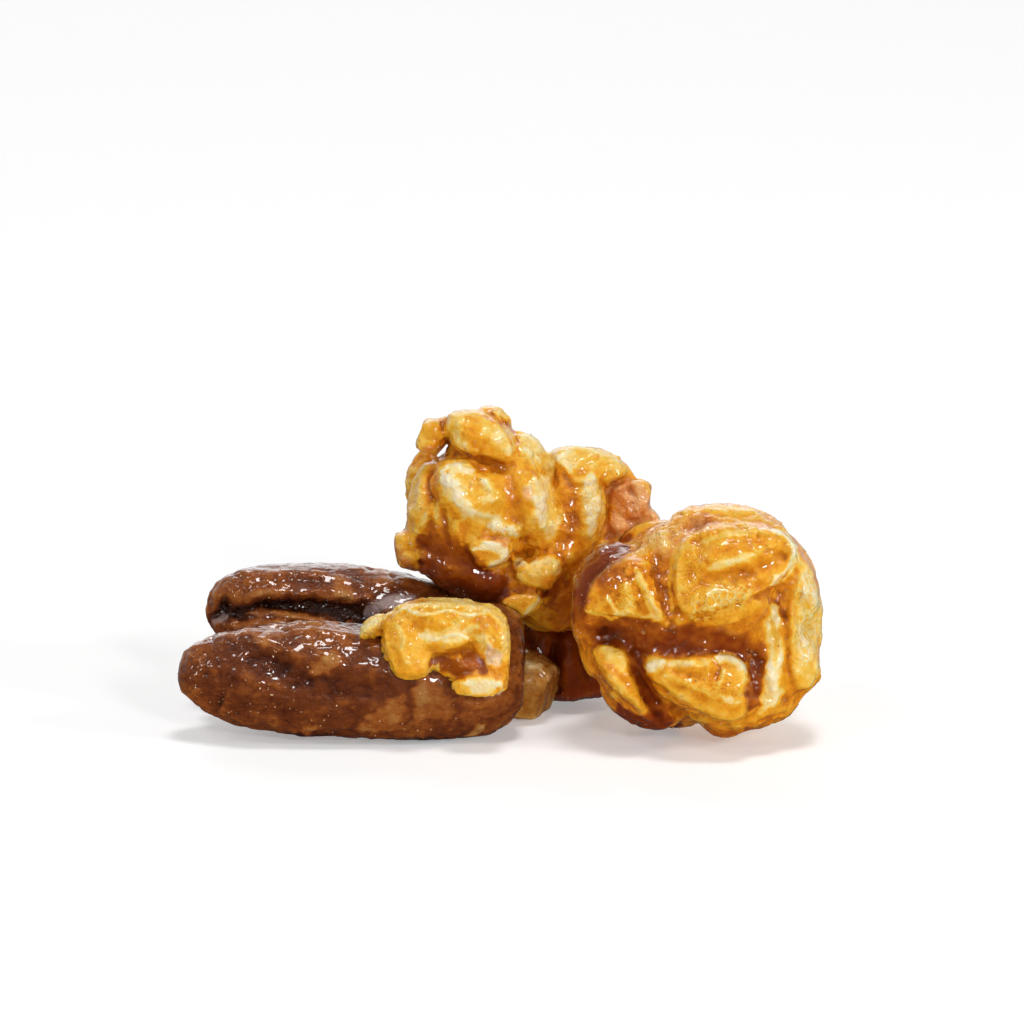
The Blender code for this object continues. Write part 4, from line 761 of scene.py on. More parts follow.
def line_distance(x, y, points):
    """How far each spot is from a smooth line, and its share of the way along."""
    path = smooth_path(points)
    best = np.full(x.shape, np.inf)
    place = np.zeros(x.shape)
    for i, (start, end) in enumerate(zip(path, path[1:])):
        apart, share = segment_distance(x, y, start, end)
        closer = apart < best
        best = np.where(closer, apart, best)
        place = np.where(closer, (i + share) / (len(path) - 1), place)
    return best, place


def outline_depth(x, y, points):
    """How deep each spot is inside a smooth closed outline, and less than zero outside."""
    path = smooth_path(points, closed=True, count=4)
    best = np.full(x.shape, np.inf)
    inside = np.zeros(x.shape, bool)
    for start, end in zip(path, np.roll(path, -1, axis=0)):
        best = np.minimum(best, segment_distance(x, y, start, end)[0])
        crosses = (start[1] > y) != (end[1] > y)
        reach = start[0] + (end[0] - start[0]) * (y - start[1]) / (end[1] - start[1] + 1e-12)
        inside ^= crosses & (x < reach)
    return np.where(inside, best, -best)


def flat_points(x, y):
    return np.stack([x.ravel(), y.ravel(), np.zeros(x.size)], axis=1)


def wobble(x, y, seed, size=0.9, reach=0.25):
    """The spots pushed a little to and fro, so that drawn lines get uneven edges."""
    points = flat_points(x, y)
    push = [reach * fractal_noise(points + 40 * i, size, seed + 7 * i, 3).reshape(x.shape) for i in (0, 1)]
    return x + push[0], y + push[1]


def flat_noise(x, y, size, seed):
    return fractal_noise(flat_points(x, y), size, seed, 3).reshape(x.shape)


def relief(x, y, spec):
    """The height of the near side's petals, ribs and grooves over the plain lobes."""
    seed = spec.get("seed", 1)
    x, y = wobble(x, y, seed)
    uneven = flat_noise(x, y, 2.2, seed + 50)
    height = 0.3 * flat_noise(x, y, 3.6, seed + 60)
    for outline, lift, rim in spec.get("patches", {}).values():
        depth = outline_depth(x, y, outline)
        crisp = rim * (1 + uneven) * np.exp(-(((depth - 0.4) / 0.3) ** 2))
        height += lift * (1 + 0.5 * uneven) * smooth_step(-0.15, 0.35 + 0.25 * uneven, depth) + crisp
    for points, width, rise in spec["strokes"].values():
        apart, place = line_distance(x, y, points)
        taper = np.clip(8 * np.minimum(place, 1 - place), 0.35, 1) * (1 + 0.45 * uneven)
        height += rise * (1 + 0.7 * uneven) * taper * np.exp(-((apart / (width * taper)) ** 2))
    return height


def painted(x, y, strokes, start):
    """Paints each stroke's value over the ones before it."""
    value = np.array(np.broadcast_to(start, x.shape), float)
    uneven = flat_noise(x, y, 1.6, PAINT_SEED)
    for points, width, colour, strength in strokes.values():
        apart, place = line_distance(x, y, points)
        taper = np.clip(8 * np.minimum(place, 1 - place), 0.5, 1) * (1 + 0.5 * uneven)
        cover = strength * (1 - smooth_step(0.55, 1.35, apart / (width * taper)))
        value += cover * (colour - value)
    return value


# Solid fields: less than zero inside a piece


class Field:
    """A piece's distance to its skin, held on a grid round its centre."""

    def __init__(self, spec, low, high):
        self.centre = np.array(spec["centre"], float)
        self.step = spec.get("step", STEP)
        self.axes = [np.arange(a, b + self.step, self.step) for a, b in zip(low, high)]
        self.low = np.array([a[0] for a in self.axes])
        self.values = np.full([len(a) for a in self.axes], OUTSIDE)

    def grid(self):
        return np.meshgrid(*self.axes, indexing="ij", sparse=True)

    def picture(self):
        return np.meshgrid(*self.axes[:2], indexing="ij")

    def slopes(self):
        return np.gradient(self.values, self.step)

    def band(self, reach=BAND):
        """The grid places near the skin, and their points."""
        at = np.nonzero(np.abs(self.values) < reach)
        return at, np.stack(at, axis=1) * self.step + self.low


def sampled(values, field, points):
    """The values at each point, between the grid's points."""
    spot = (points - field.low) / field.step
    size = np.array(values.shape)
    within = ((spot >= 0) & (spot < size - 1)).all(axis=1)
    cell = np.floor(spot[within]).astype(np.int64)
    share = spot[within] - cell
    total = np.zeros(within.sum())
    for corner in np.ndindex(2, 2, 2):
        weight = np.ones(len(cell))
        for axis in range(3):
            weight *= share[:, axis] if corner[axis] else 1 - share[:, axis]
        total += weight * values[tuple((cell + corner).T)]
    result = np.full(len(points), OUTSIDE)
    result[within] = total
    return result


def smooth_min(a, b, blend):
    near = np.maximum(blend - np.abs(a - b), 0) / blend
    return np.minimum(a, b) - near * near * blend / 4


def lobe_field(spec):
    """The distance to the piece's lobes, each fused softly to the others."""
    corners = np.array([[np.array(c) - max(r), np.array(c) + max(r)] for c, r, *_ in spec["lobes"].values()])
    field = Field(spec, corners[:, 0].min(0) - 1.5, corners[:, 1].max(0) + 1.5)
    for centre, radii, turn, *power in spec["lobes"].values():
        power = power[0] if power else 2
        reach = max(radii) + 3
        span = [slice(*np.searchsorted(a, (c - reach, c + reach))) for a, c in zip(field.axes, centre)]
        x, y, z = np.meshgrid(*(a[s] - c for a, s, c in zip(field.axes, span, centre)), indexing="ij", sparse=True)
        cos, sin = math.cos(math.radians(turn)), math.sin(math.radians(turn))
        across, up = cos * x + sin * y, cos * y - sin * x
        shares = [np.abs(side) / radius for side, radius in zip((across, up, z), radii)]
        scaled = np.maximum(sum(share ** power for share in shares), 1e-6) ** (1 / power)
        slope = np.sqrt(sum((share ** (power - 1) / radius) ** 2 for share, radius in zip(shares, radii)))
        distance = (scaled - 1) * scaled ** (power - 1) / np.maximum(slope, 1e-6)
        part = tuple(span)
        field.values[part] = smooth_min(field.values[part], distance, spec["blend"])
    x, y, z = field.grid()
    for (across, up, near), reach in spec.get("facets", {}).values():
        beyond = (across * x + up * y + near * z) / math.hypot(across, up, near) - reach
        field.values = -smooth_min(-field.values, -beyond, 0.5)
    return field


def pecan_lobe(local, centre, half, step):
    """The distance to one long lobe with a narrow left end and a blunt right end."""
    along, across, out = (local[i] - centre[i] for i in range(3))
    along = along / half[0]
    around = np.sqrt((across / half[1]) ** 2 + (out / half[2]) ** 2) / (1 - PECAN_TAPER * along)
    power = np.where(along > 0, PECAN_RIGHT_END, PECAN_LEFT_END)
    size = (np.abs(along) ** power + around ** power) ** (1 / power)
    slope = np.sqrt(sum(s * s for s in np.gradient(size, step)))
    return (size - 1) / np.maximum(slope, 0.02)


def turned(offset, turn):
    """The three coordinates seen from a frame that is turned by this matrix."""
    return [sum(turn[i][j] * offset[i] for i in range(3)) for j in range(3)]


def pecan_field(spec):
    """Two long lobes side by side, joined low between them and flat below."""
    field = Field(spec, (-20, -14, -16), (20, 12, 14))
    place = upright(*(a + c for a, c in zip(field.grid(), spec["centre"])))
    offset = np.broadcast_arrays(*(side - middle for side, middle in zip(place, PECAN_WORLD_CENTRE)))
    turn = Matrix.Rotation(PECAN_ROLL, 3, "X") @ Matrix.Rotation(PECAN_NOD, 3, "Y")
    local = turned(offset, turn)
    back = turned(offset, turn @ Matrix.Rotation(PECAN_BACK_NOD, 3, "Y"))
    length, width, height = PECAN_HALF
    front_lobe = pecan_lobe(local, (0, -PECAN_SIDE, 0), PECAN_HALF, field.step)
    back_lobe = pecan_lobe(back, (1.0, PECAN_SIDE, -0.3), (0.91 * length, width, height), field.step)
    web = pecan_lobe(local, (0.8, 0, -1.6), (0.86 * length, 0.9 * PECAN_SIDE, 0.5 * height), field.step)
    joined = smooth_min(smooth_min(front_lobe, back_lobe, 1.2), web, 1.2)
    centre, radii = PECAN_RIGHT_KNOB
    knob = np.sqrt(sum(((side - at) / radius) ** 2 for side, at, radius in zip(field.grid(), centre, radii)))
    joined = smooth_min(joined, (knob - 1) * min(radii), 2.0)
    field.values = -smooth_min(-joined, PECAN_BELLY + local[2], 1.6)
    return field


def blurred(values, radius, step):
    """The values, each spread over its neighbours."""
    reach = max(1, round(2 * radius / step))
    weights = np.exp(-0.5 * ((np.arange(-reach, reach + 1) * step / radius) ** 2))
    weights /= weights.sum()
    for axis in range(3):
        spread = np.zeros_like(values)
        length = values.shape[axis]
        padded = np.pad(values, [(reach, reach) if a == axis else (0, 0) for a in range(3)], mode="edge")
        for i, weight in enumerate(weights):
            part = [slice(None)] * 3
            part[axis] = slice(i, i + length)
            spread += weight * padded[tuple(part)]
        values = spread
    return values


def facing(slopes):
    """How much a place faces the eye, 1 in front, 0 at the outline and less behind, and the slope's size."""
    size = np.maximum(np.sqrt(sum(s * s for s in slopes)), 0.3)
    return slopes[2] / size, size


def at_level(field):
    """Evens out the field to true distances, and gives how far each place faces the eye and away from it."""
    towards, size = facing(field.slopes())
    field.values = np.clip(field.values / size, -4, 4)
    return smooth_step(0.04, 0.48, towards), smooth_step(0.0, 0.5, -towards)


def add_front(field, near, far, spec):
    """Adds the near side's drawn relief, and gives back the points near the skin and what they face."""
    x, y = field.picture()
    height = relief(x, y, spec)
    pooled = smooth_step(0.56, 0.7, painted(x, y, spec.get("paint", {}), spec.get("glaze", 0)))
    at, points = field.band()
    near, far = near[at], far[at]
    field.values[at] -= near * height[at[0], at[1]]
    return at, points, near, far, near * pooled[at[0], at[1]]


def kernel_field(spec):
    """A popped kernel: fused lobes, drawn petals in front and puffed cells behind."""
    field = lobe_field(spec)
    near, far = at_level(field)
    field.values += spec["inset"]
    for line, width in spec.get("slits", {}).values():
        x, y = field.picture()
        field.values = np.maximum(field.values, width - line_distance(x, y, line)[0][:, :, None])
    at, points, near, far, pooled = add_front(field, near, far, spec)
    seed = spec["seed"]
    behind = far > 0.01
    spots = points[behind]
    warp = warp_of(spots, 1.8, seed + 20, 0.6)
    petals = smooth_step(0.0, 0.3, cell_edges(spots + warp, 4.6, seed + 3))
    folds = smooth_step(0.0, 0.35, cell_edges(spots - warp, 2.1, seed + 4))
    height = np.zeros(len(points))
    height[behind] = spec.get("far_relief", 0.7) * far[behind] * (1.0 * (petals - 0.75) + 0.25 * (folds - 0.7))
    crinkle = spec.get("crinkle", 0.13) * fractal_noise(points, 1.3, seed + 9, 3)
    creases = CREASE_HEIGHT * np.clip(
        0.45 - 2.2 * np.abs(fractal_noise(points, 1.7, seed + 14, 3)), -0.6, 1)
    height += (1 - 0.85 * pooled) * (0.4 + 0.6 * np.maximum(near, far)) * (crinkle + creases)
    bent = points + warp_of(points, 1.1, seed + 40, 0.45)
    chips = smooth_step(0.0, 0.28, cell_edges(bent, spec.get("chip_size", 1.5), seed + 6)) - 0.8
    chipped = smooth_step(-0.3, 0.3, fractal_noise(points, 3.2, seed + 16, 2))
    height += CHIP_HEIGHT * (1 - 0.7 * pooled) * chipped * chips
    height += 0.1 * (1 - 0.2 * pooled) * fractal_noise(bent, 0.7, seed + 18, 2)
    field.values[at] -= height
    return field


def nut_field(spec, field, long_axis=0.45):
    """A nut's skin: drawn grooves, long folds and fine creases."""
    near, far = at_level(field)
    field.values += spec.get("inset", 0.15)
    at, points, *_ = add_front(field, near, far, spec)
    seed = spec.get("seed", NUT_SEED)
    stretched = points * (long_axis, 1, 1)
    warp = warp_of(points, 2.4, seed + 20, 0.5)
    folds = fractal_noise(stretched + warp, 2.4, seed + 1, 3)
    creases = fractal_noise(stretched * (1.3, 1, 1) - warp, 1.5, seed + 5, 2)
    wrinkles = fractal_noise(points * (0.7, 1, 1) + warp, 0.8, seed + 8, 2)
    height = 0.32 * folds - 0.14 * np.exp(-((creases / 0.09) ** 2)) + 0.1 * wrinkles
    height += 0.1 * fractal_noise(points * (0.8, 1, 1) + warp, 0.6, seed + 12, 2)
    field.values[at] -= height
    return field


def keep_in_box(field, node):
    """Rounds a piece off where it would leave its CAD node's box, and flat where that stands on the floor."""
    place = placed(*(a + c for a, c in zip(field.grid(), field.centre)))
    for along, least, most in zip(place, *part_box(node)):
        for outside in (least / MM + CLEARANCE - along, along + CLEARANCE - most / MM):
            field.values = -smooth_min(-field.values, -outside, BOX_ROUNDING)


def keep_clear(field, neighbour):
    """Leaves a hair's gap where a piece presses against another."""
    at, points = field.band(4.5)
    other = sampled(neighbour.values, neighbour, points + field.centre - neighbour.centre)
    field.values[at] = np.maximum(field.values[at], CLEARANCE - other)


def skin(field):
    """The points and quads of the surface where the field is zero, by surface nets."""
    values = field.values
    inside = values < 0
    cells = np.array(values.shape) - 1
    total = int(cells.prod())
    sums, counts, quads = np.zeros((total, 3)), np.zeros(total), []
    for axis in range(3):
        u, v = (axis + 1) % 3, (axis + 2) % 3
        head, tail = [slice(None)] * 3, [slice(None)] * 3
        head[axis], tail[axis] = slice(0, -1), slice(1, None)
        first, last = values[tuple(head)], values[tuple(tail)]
        starts_inside = inside[tuple(head)]
        crossing = np.argwhere(starts_inside != inside[tuple(tail)])
        room = (crossing[:, u] > 0) & (crossing[:, v] > 0)
        crossing = crossing[room & (crossing[:, u] < cells[u]) & (crossing[:, v] < cells[v])]
        at = tuple(crossing.T)
        spot = crossing.astype(float)
        spot[:, axis] += first[at] / (first[at] - last[at])
        ring = []
        for du, dv in ((0, 0), (-1, 0), (-1, -1), (0, -1)):
            cell = crossing.copy()
            cell[:, u] += du
            cell[:, v] += dv
            number = np.ravel_multi_index(tuple(cell.T), cells)
            ring.append(number)
            counts += np.bincount(number, minlength=total)
            for i in range(3):
                sums[:, i] += np.bincount(number, weights=spot[:, i], minlength=total)
        ring = np.stack(ring, axis=1)
        quads.append(np.where(starts_inside[at][:, None], ring, ring[:, ::-1]))
    used = counts > 0
    index = np.cumsum(used) - 1
    return sums[used] / counts[used][:, None] * field.step + field.low, index[np.concatenate(quads)]


def largest_body(points, quads):
    """Leaves out crumbs that are split off from the main skin."""
    label = np.arange(len(points))
    while True:
        lowest = label[quads].min(axis=1)
        new = label.copy()
        for corner in range(4):
            np.minimum.at(new, quads[:, corner], lowest)
        new = new[new]
        if (new == label).all():
            break
        label = new
    names, sizes = np.unique(label, return_counts=True)
    keep = label == names[sizes.argmax()]
    index = np.cumsum(keep) - 1
    return points[keep], index[quads[keep[quads].all(axis=1)]]


# Pieces


def new_object(name, points, faces, material, masks):
    mesh = bpy.data.meshes.new(name)
    mesh.from_pydata(points, [], faces)
    mesh.shade_smooth()
    for cover, values in masks.items():
        mesh.attributes.new(cover, "FLOAT", "POINT").data.foreach_set("value", np.asarray(values, np.float32))
    if material:
        mesh.materials.append(material)
    obj = bpy.data.objects.new(name, mesh)
    bpy.context.scene.collection.objects.link(obj)
    return obj


def surface(field, node):
    """A piece's skin and, for each point, its spot in the picture and how much it faces the eye, lies deep, and
    faces down."""
    points, quads = largest_body(*skin(field))
    gentle = blurred(field.values, 0.35, field.step)
    slopes = [sampled(slope, field, points) for slope in np.gradient(gentle, field.step)]
    towards, size = facing(slopes)
    front = smooth_step(-0.4, -0.08, towards)
    drift = np.stack([fractal_noise(points, 3.0, PAINT_SEED + i, 3) for i in range(2)])
    spots = points.T[:2] + 2.6 * smooth_step(0.7, 0.0, towards) * drift
    flat = np.clip(field.values, -3, 3)
    bend = sum(sampled(blurred(flat, radius, field.step), field, points) for radius in (0.7, 0.35))
    world = seen_points(points, field.centre)
    low, high = (np.array(c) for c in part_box(node))
    world = np.clip(world, low + 1e-5, high - 1e-5)
    return points, spots, world, quads, front, np.clip(-bend / 0.26, -1.5, 1.6), np.clip(-slopes[1] / size, 0, 1)


def finish_piece(name, node, world, quads, material, masks):
    low, high = (np.array(c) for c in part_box(node))
    room = np.minimum(world - low, high - world).min(axis=1) / MM
    for cover in ("grains", "bubbles"):
        masks[cover] = masks[cover] * smooth_step(0.15, 0.3, room)
    obj = new_object(name, world, quads, material, masks)
    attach(obj, "root")
    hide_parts(node)
    return obj


def make_kernel(name, node, spec, field, material):
    """A popped kernel with its coat of caramel painted on, with painted shade in its hollows and where it faces
    down.
    """
    points, spots, world, quads, front, hollow, under = surface(field, node)
    seed = spec["seed"]
    x, y = wobble(*spots, seed, 0.7, 0.3)
    plain = spec["glaze"] + 0.16 * fractal_noise(points, 3.0, seed + 30, 4)
    pools = 0.34 * smooth_step(0.12, 0.5, fractal_noise(points, 5.0, seed + 35, 2))
    glaze = plain + (1 - front) * pools + front * (painted(x, y, spec["paint"], plain) - plain)
    # Concave places get a deeper glaze, partly caramel pooled there and partly painted shade; places that face down
    # get painted shade, a darker amber.
    glaze += spec.get("edge_tone", 0.07) * hollow + 0.1 * under * smooth_step(0.6, 0.3, glaze)
    masks = {
        "glaze": np.clip(glaze, 0, 1),
        "foam": front * painted(x, y, spec["foam"], 0.15) + (1 - front) * 0.4,
        "hull": front * painted(x, y, spec["hull"], 0.0),
        "grains": front * painted(x, y, spec.get("grains", {}), PLAIN_GRAINS) + (1 - front) * PLAIN_GRAINS,
        "bubbles": front * painted(x, y, spec.get("bubbles", {}), 0.0),
    }
    return finish_piece(name, node, world, quads, material, masks)


def make_nut(name, node, spec, field, material, plain_tone):
    """A piece of nut with its darker grooves and paler patches painted on, with painted shade in the pecan's
    grooves, painted highlights, and a painted reflection where the sheen mask is set.
    """
    points, spots, world, quads, front, hollow, _ = surface(field, node)
    x, y = wobble(*spots, spec.get("seed", NUT_SEED), 0.9, 0.4)
    plain = plain_tone + 0.16 * fractal_noise(points * (0.6, 1, 1), 3.2, 71, 4)
    tone = plain + front * (painted(x, y, spec["tone"], plain) - plain) - 0.1 * hollow
    masks = {
        "tone": np.clip(tone, 0, 1),
        "sheen": front * painted(x, y, spec["sheen"], 0.0),
        "grains": front * painted(x, y, spec.get("grains", {}), PLAIN_GRAINS) + (1 - front) * PLAIN_GRAINS,
        "bubbles": np.zeros(len(points)),
    }
    return finish_piece(name, node, world, quads, material, masks)


# Materials


def add_node(tree, kind, inputs=None, **settings):
    node = tree.nodes.new(kind)
    for key, value in settings.items():
        setattr(node, key, value)
    for key, value in (inputs or {}).items():
        if isinstance(value, bpy.types.NodeSocket):
            tree.links.new(value, node.inputs[key])
        else:
            node.inputs[key].default_value = value
    return node


def maths(tree, operation, a, b=0.0, clamp=False):
    return add_node(tree, "ShaderNodeMath", {0: a, 1: b}, operation=operation, use_clamp=clamp).outputs[0]


def ramp(tree, value, stops):
    node = add_node(tree, "ShaderNodeValToRGB", {"Fac": value})
    marks = node.color_ramp.elements
    marks[0].position, marks[0].color = stops[0][0], (*stops[0][1], 1)
    marks[1].position, marks[1].color = stops[-1][0], (*stops[-1][1], 1)
    for place, colour in stops[1:-1]:
        mark = marks.new(place)
        mark.color = (*colour, 1)
    return node.outputs["Color"]


def new_material(name):
    material = bpy.data.materials.new(name)
    material.use_nodes = True
    tree = material.node_tree
    return material, tree, tree.nodes["Principled BSDF"]


def mask(tree, name):
    return add_node(tree, "ShaderNodeAttribute", attribute_name=name).outputs["Fac"]


def mix_colour(tree, factor, a, b):
    node = add_node(tree, "ShaderNodeMix", {"Factor": factor}, data_type="RGBA")
    for socket, value in ((6, a), (7, b)):
        if isinstance(value, bpy.types.NodeSocket):
            tree.links.new(value, node.inputs[socket])
        else:
            node.inputs[socket].default_value = (*value, 1)
    return node.outputs[2]


FLOAT = "NodeSocketFloat"
VECTOR = "NodeSocketVector"
CARAMEL_STOPS = (
    (0.00, (0.95, 0.82, 0.56)),
    (0.12, (0.93, 0.70, 0.27)),
    (0.24, (0.91, 0.55, 0.08)),
    (0.36, (0.88, 0.42, 0.024)),
    (0.48, (0.77, 0.27, 0.009)),
    (0.60, (0.50, 0.13, 0.007)),
    (0.74, (0.25, 0.040, 0.003)),
    (0.88, (0.11, 0.014, 0.002)),
    (1.00, (0.045, 0.007, 0.001)),
)
SKIN_STOPS = (
    (0.00, (0.026, 0.006, 0.002)),
    (0.20, (0.070, 0.014, 0.004)),
    (0.42, (0.165, 0.038, 0.008)),
    (0.60, (0.32, 0.090, 0.014)),
    (0.78, (0.42, 0.185, 0.045)),
    (1.00, (0.60, 0.40, 0.17)),
)
MEAT_STOPS = (
    (0.00, (0.10, 0.024, 0.004)),
    (0.45, (0.38, 0.13, 0.014)),
    (0.75, (0.58, 0.29, 0.06)),
    (1.00, (0.80, 0.56, 0.24)),
)


def new_group(name, inputs, outputs):
    """An empty shader group with named sockets, and its two ends."""
    tree = bpy.data.node_groups.new(name, "ShaderNodeTree")
    for sockets, side in ((inputs, "INPUT"), (outputs, "OUTPUT")):
        for socket, kind in sockets.items():
            tree.interface.new_socket(name=socket, in_out=side, socket_type=kind)
    return tree, tree.nodes.new("NodeGroupInput").outputs, tree.nodes.new("NodeGroupOutput").inputs


def noise(tree, place, scale, detail, roughness=0.6):
    inputs = {"Vector": place, "Scale": scale, "Detail": detail, "Roughness": roughness}
    return add_node(tree, "ShaderNodeTexNoise", inputs).outputs["Fac"]


def mottle_group():
    """Blotches and fine grain that make a painted value uneven."""
    tree, given, result = new_group(
        "mottle",
        {"Vector": VECTOR, "Blotch Scale": FLOAT, "Grain Scale": FLOAT, "Grain Share": FLOAT, "Amount": FLOAT},
        {"Shift": FLOAT})
    blotches = noise(tree, given["Vector"], given["Blotch Scale"], 4.0)
    grain = noise(tree, given["Vector"], given["Grain Scale"], 2.0)
    both = maths(tree, "ADD", blotches, maths(tree, "MULTIPLY", grain, given["Grain Share"]))
    middle = maths(tree, "MULTIPLY", maths(tree, "ADD", 1.0, given["Grain Share"]), 0.5)
    shift = maths(tree, "MULTIPLY", maths(tree, "SUBTRACT", both, middle), given["Amount"])
    tree.links.new(shift, result["Shift"])
    return tree


def vein_group():
    """Thin uneven lines, from 0 between them to 1 along their middles."""
    tree, given, result = new_group(
        "veins", {"Vector": VECTOR, "Vein Scale": FLOAT, "Sharpness": FLOAT}, {"Line": FLOAT})
    lines = noise(tree, given["Vector"], given["Vein Scale"], 3.0)
    middle = maths(tree, "ABSOLUTE", maths(tree, "SUBTRACT", lines, 0.5))
    line = maths(tree, "SUBTRACT", 1.0, maths(tree, "MULTIPLY", middle, given["Sharpness"]), True)
    tree.links.new(line, result["Line"])
    return tree


def ripple_group():
    """The height of ripples, grain and lines in a sugar glaze, lower where it pools."""
    tree, given, result = new_group(
        "glaze_ripples",
        {
            "Vector": VECTOR, "Ripple Scale": FLOAT, "Grain Scale": FLOAT, "Line": FLOAT, "Line Height": FLOAT,
            "Calm": FLOAT, "Sugar": FLOAT,
        },
        {"Height": FLOAT})
    ripples = noise(tree, given["Vector"], given["Ripple Scale"], 3.0, 0.55)
    grain = noise(tree, given["Vector"], given["Grain Scale"], 2.0)
    height = maths(tree, "ADD", ripples, maths(tree, "MULTIPLY", grain, 0.4))
    height = maths(tree, "ADD", height, maths(tree, "MULTIPLY", given["Line"], given["Line Height"]))
    height = maths(tree, "MULTIPLY", height, maths(tree, "SUBTRACT", 1.0, given["Calm"]))
    crystals = add_node(
        tree, "ShaderNodeTexVoronoi", {"Vector": given["Vector"], "Scale": 2600.0}).outputs["Distance"]
    height = maths(tree, "ADD", height, maths(tree, "MULTIPLY", crystals, given["Sugar"]))
    tree.links.new(height, result["Height"])
    return tree


def sugar_group():
    """Where a glaze is grainy with sugar: in patches, and more where grains lie."""
    tree, given, result = new_group(
        "sugar_cover",
        {"Vector": VECTOR, "Patch Scale": FLOAT, "Grains": FLOAT, "Amount": FLOAT},
        {"Cover": FLOAT})
    patches = between(tree, noise(tree, given["Vector"], given["Patch Scale"], 2.0), 0.5, 0.68, 0.0, 0.8)
    cover = maths(tree, "ADD", patches, maths(tree, "MULTIPLY", given["Grains"], 0.7), True)
    tree.links.new(maths(tree, "MULTIPLY", cover, given["Amount"]), result["Cover"])
    return tree


def place_group(tree, group, inputs):
    return add_node(tree, "ShaderNodeGroup", inputs, node_tree=group).outputs[0]


def between(tree, value, low, high, start, end):
    """Start below low, end above high, and a smooth change between."""
    inputs = {"Value": value, "From Min": low, "From Max": high, "To Min": start, "To Max": end}
    return add_node(tree, "ShaderNodeMapRange", inputs, interpolation_type="SMOOTHSTEP").outputs["Result"]


def glaze_shader(tree, shader, height, roughness, coat, scatter):
    bump = add_node(tree, "ShaderNodeBump", {"Height": height, "Strength": 0.9, "Distance": 0.00035})
    tree.links.new(bump.outputs["Normal"], shader.inputs["Normal"])
    tree.links.new(roughness, shader.inputs["Roughness"])
    shader.inputs["Specular IOR Level"].default_value = 0.12
    shader.inputs["Subsurface Weight"].default_value = scatter
    shader.inputs["Subsurface Radius"].default_value = (1.0, 0.4, 0.1)
    shader.inputs["Subsurface Scale"].default_value = 0.001
    tree.links.new(coat, shader.inputs["Coat Weight"])
    shader.inputs["Coat Roughness"].default_value = 0.06


def popcorn_material(mottle, veins, ripples, sugar):
    """Puffed corn under caramel: cream where the coat is thin, amber to brown where it pools."""
    material, tree, shader = new_material("glazed_popcorn")
    place = add_node(tree, "ShaderNodeTexCoord").outputs["Object"]
    glaze, foam = mask(tree, "glaze"), mask(tree, "foam")
    pooled = between(tree, glaze, 0.5, 0.72, 0.0, 1.0)
    open_grain = maths(tree, "SUBTRACT", 1.0, maths(tree, "MULTIPLY", pooled, 0.75))
    bend = add_node(tree, "ShaderNodeTexNoise", {"Vector": place, "Scale": 1500.0, "Detail": 1.0})
    push = add_node(tree, "ShaderNodeVectorMath", {0: bend.outputs["Color"], "Scale": 0.0008}, operation="SCALE")
    bent = add_node(tree, "ShaderNodeVectorMath", {0: place, 1: push.outputs[0]}, operation="ADD").outputs[0]
    cells = add_node(tree, "ShaderNodeTexVoronoi", {"Vector": bent, "Scale": 1250.0}, feature="DISTANCE_TO_EDGE")
    wall = maths(tree, "SUBTRACT", 1.0, maths(tree, "MULTIPLY", cells.outputs["Distance"], 4.5, True), True)
    walls = maths(tree, "MULTIPLY", wall, foam)
    fibres = place_group(tree, veins, {"Vector": bent, "Vein Scale": 800.0, "Sharpness": 13.0})
    thread = maths(tree, "MULTIPLY", fibres, maths(tree, "ADD", maths(tree, "MULTIPLY", foam, 0.5), 0.12))
    pale_lines = maths(tree, "MULTIPLY", maths(tree, "MAXIMUM", walls, thread), open_grain)
    shift = place_group(tree, mottle, {
        "Vector": place, "Blotch Scale": 650.0, "Grain Scale": 3000.0, "Grain Share": 0.25, "Amount": 0.32})
    value = maths(tree, "ADD", glaze, maths(tree, "MULTIPLY", shift, open_grain))
    value = maths(tree, "ADD", value, maths(tree, "MULTIPLY", pale_lines, -0.26), True)
    husk = ramp(tree, noise(tree, place, 520.0, 2.0), ((0.38, (0.66, 0.20, 0.04)), (0.62, (0.86, 0.46, 0.20))))
    colour = mix_colour(tree, mask(tree, "hull"), ramp(tree, value, CARAMEL_STOPS), husk)
    tree.links.new(colour, shader.inputs["Base Color"])
    cover = place_group(tree, sugar, {
        "Vector": place, "Patch Scale": 420.0, "Grains": mask(tree, "grains"), "Amount": 0.6})
    height = place_group(tree, ripples, {
        "Vector": place, "Ripple Scale": 1150.0, "Grain Scale": 3800.0, "Line": pale_lines, "Line Height": 0.45,
        "Calm": maths(tree, "MULTIPLY", pooled, 0.5), "Sugar": cover})
    roughness = between(tree, value, 0.15, 0.65, 0.2, 0.08)
    glaze_shader(tree, shader, height, roughness, between(tree, glaze, 0.2, 0.6, 0.5, 0.95), 0.45)
    return material


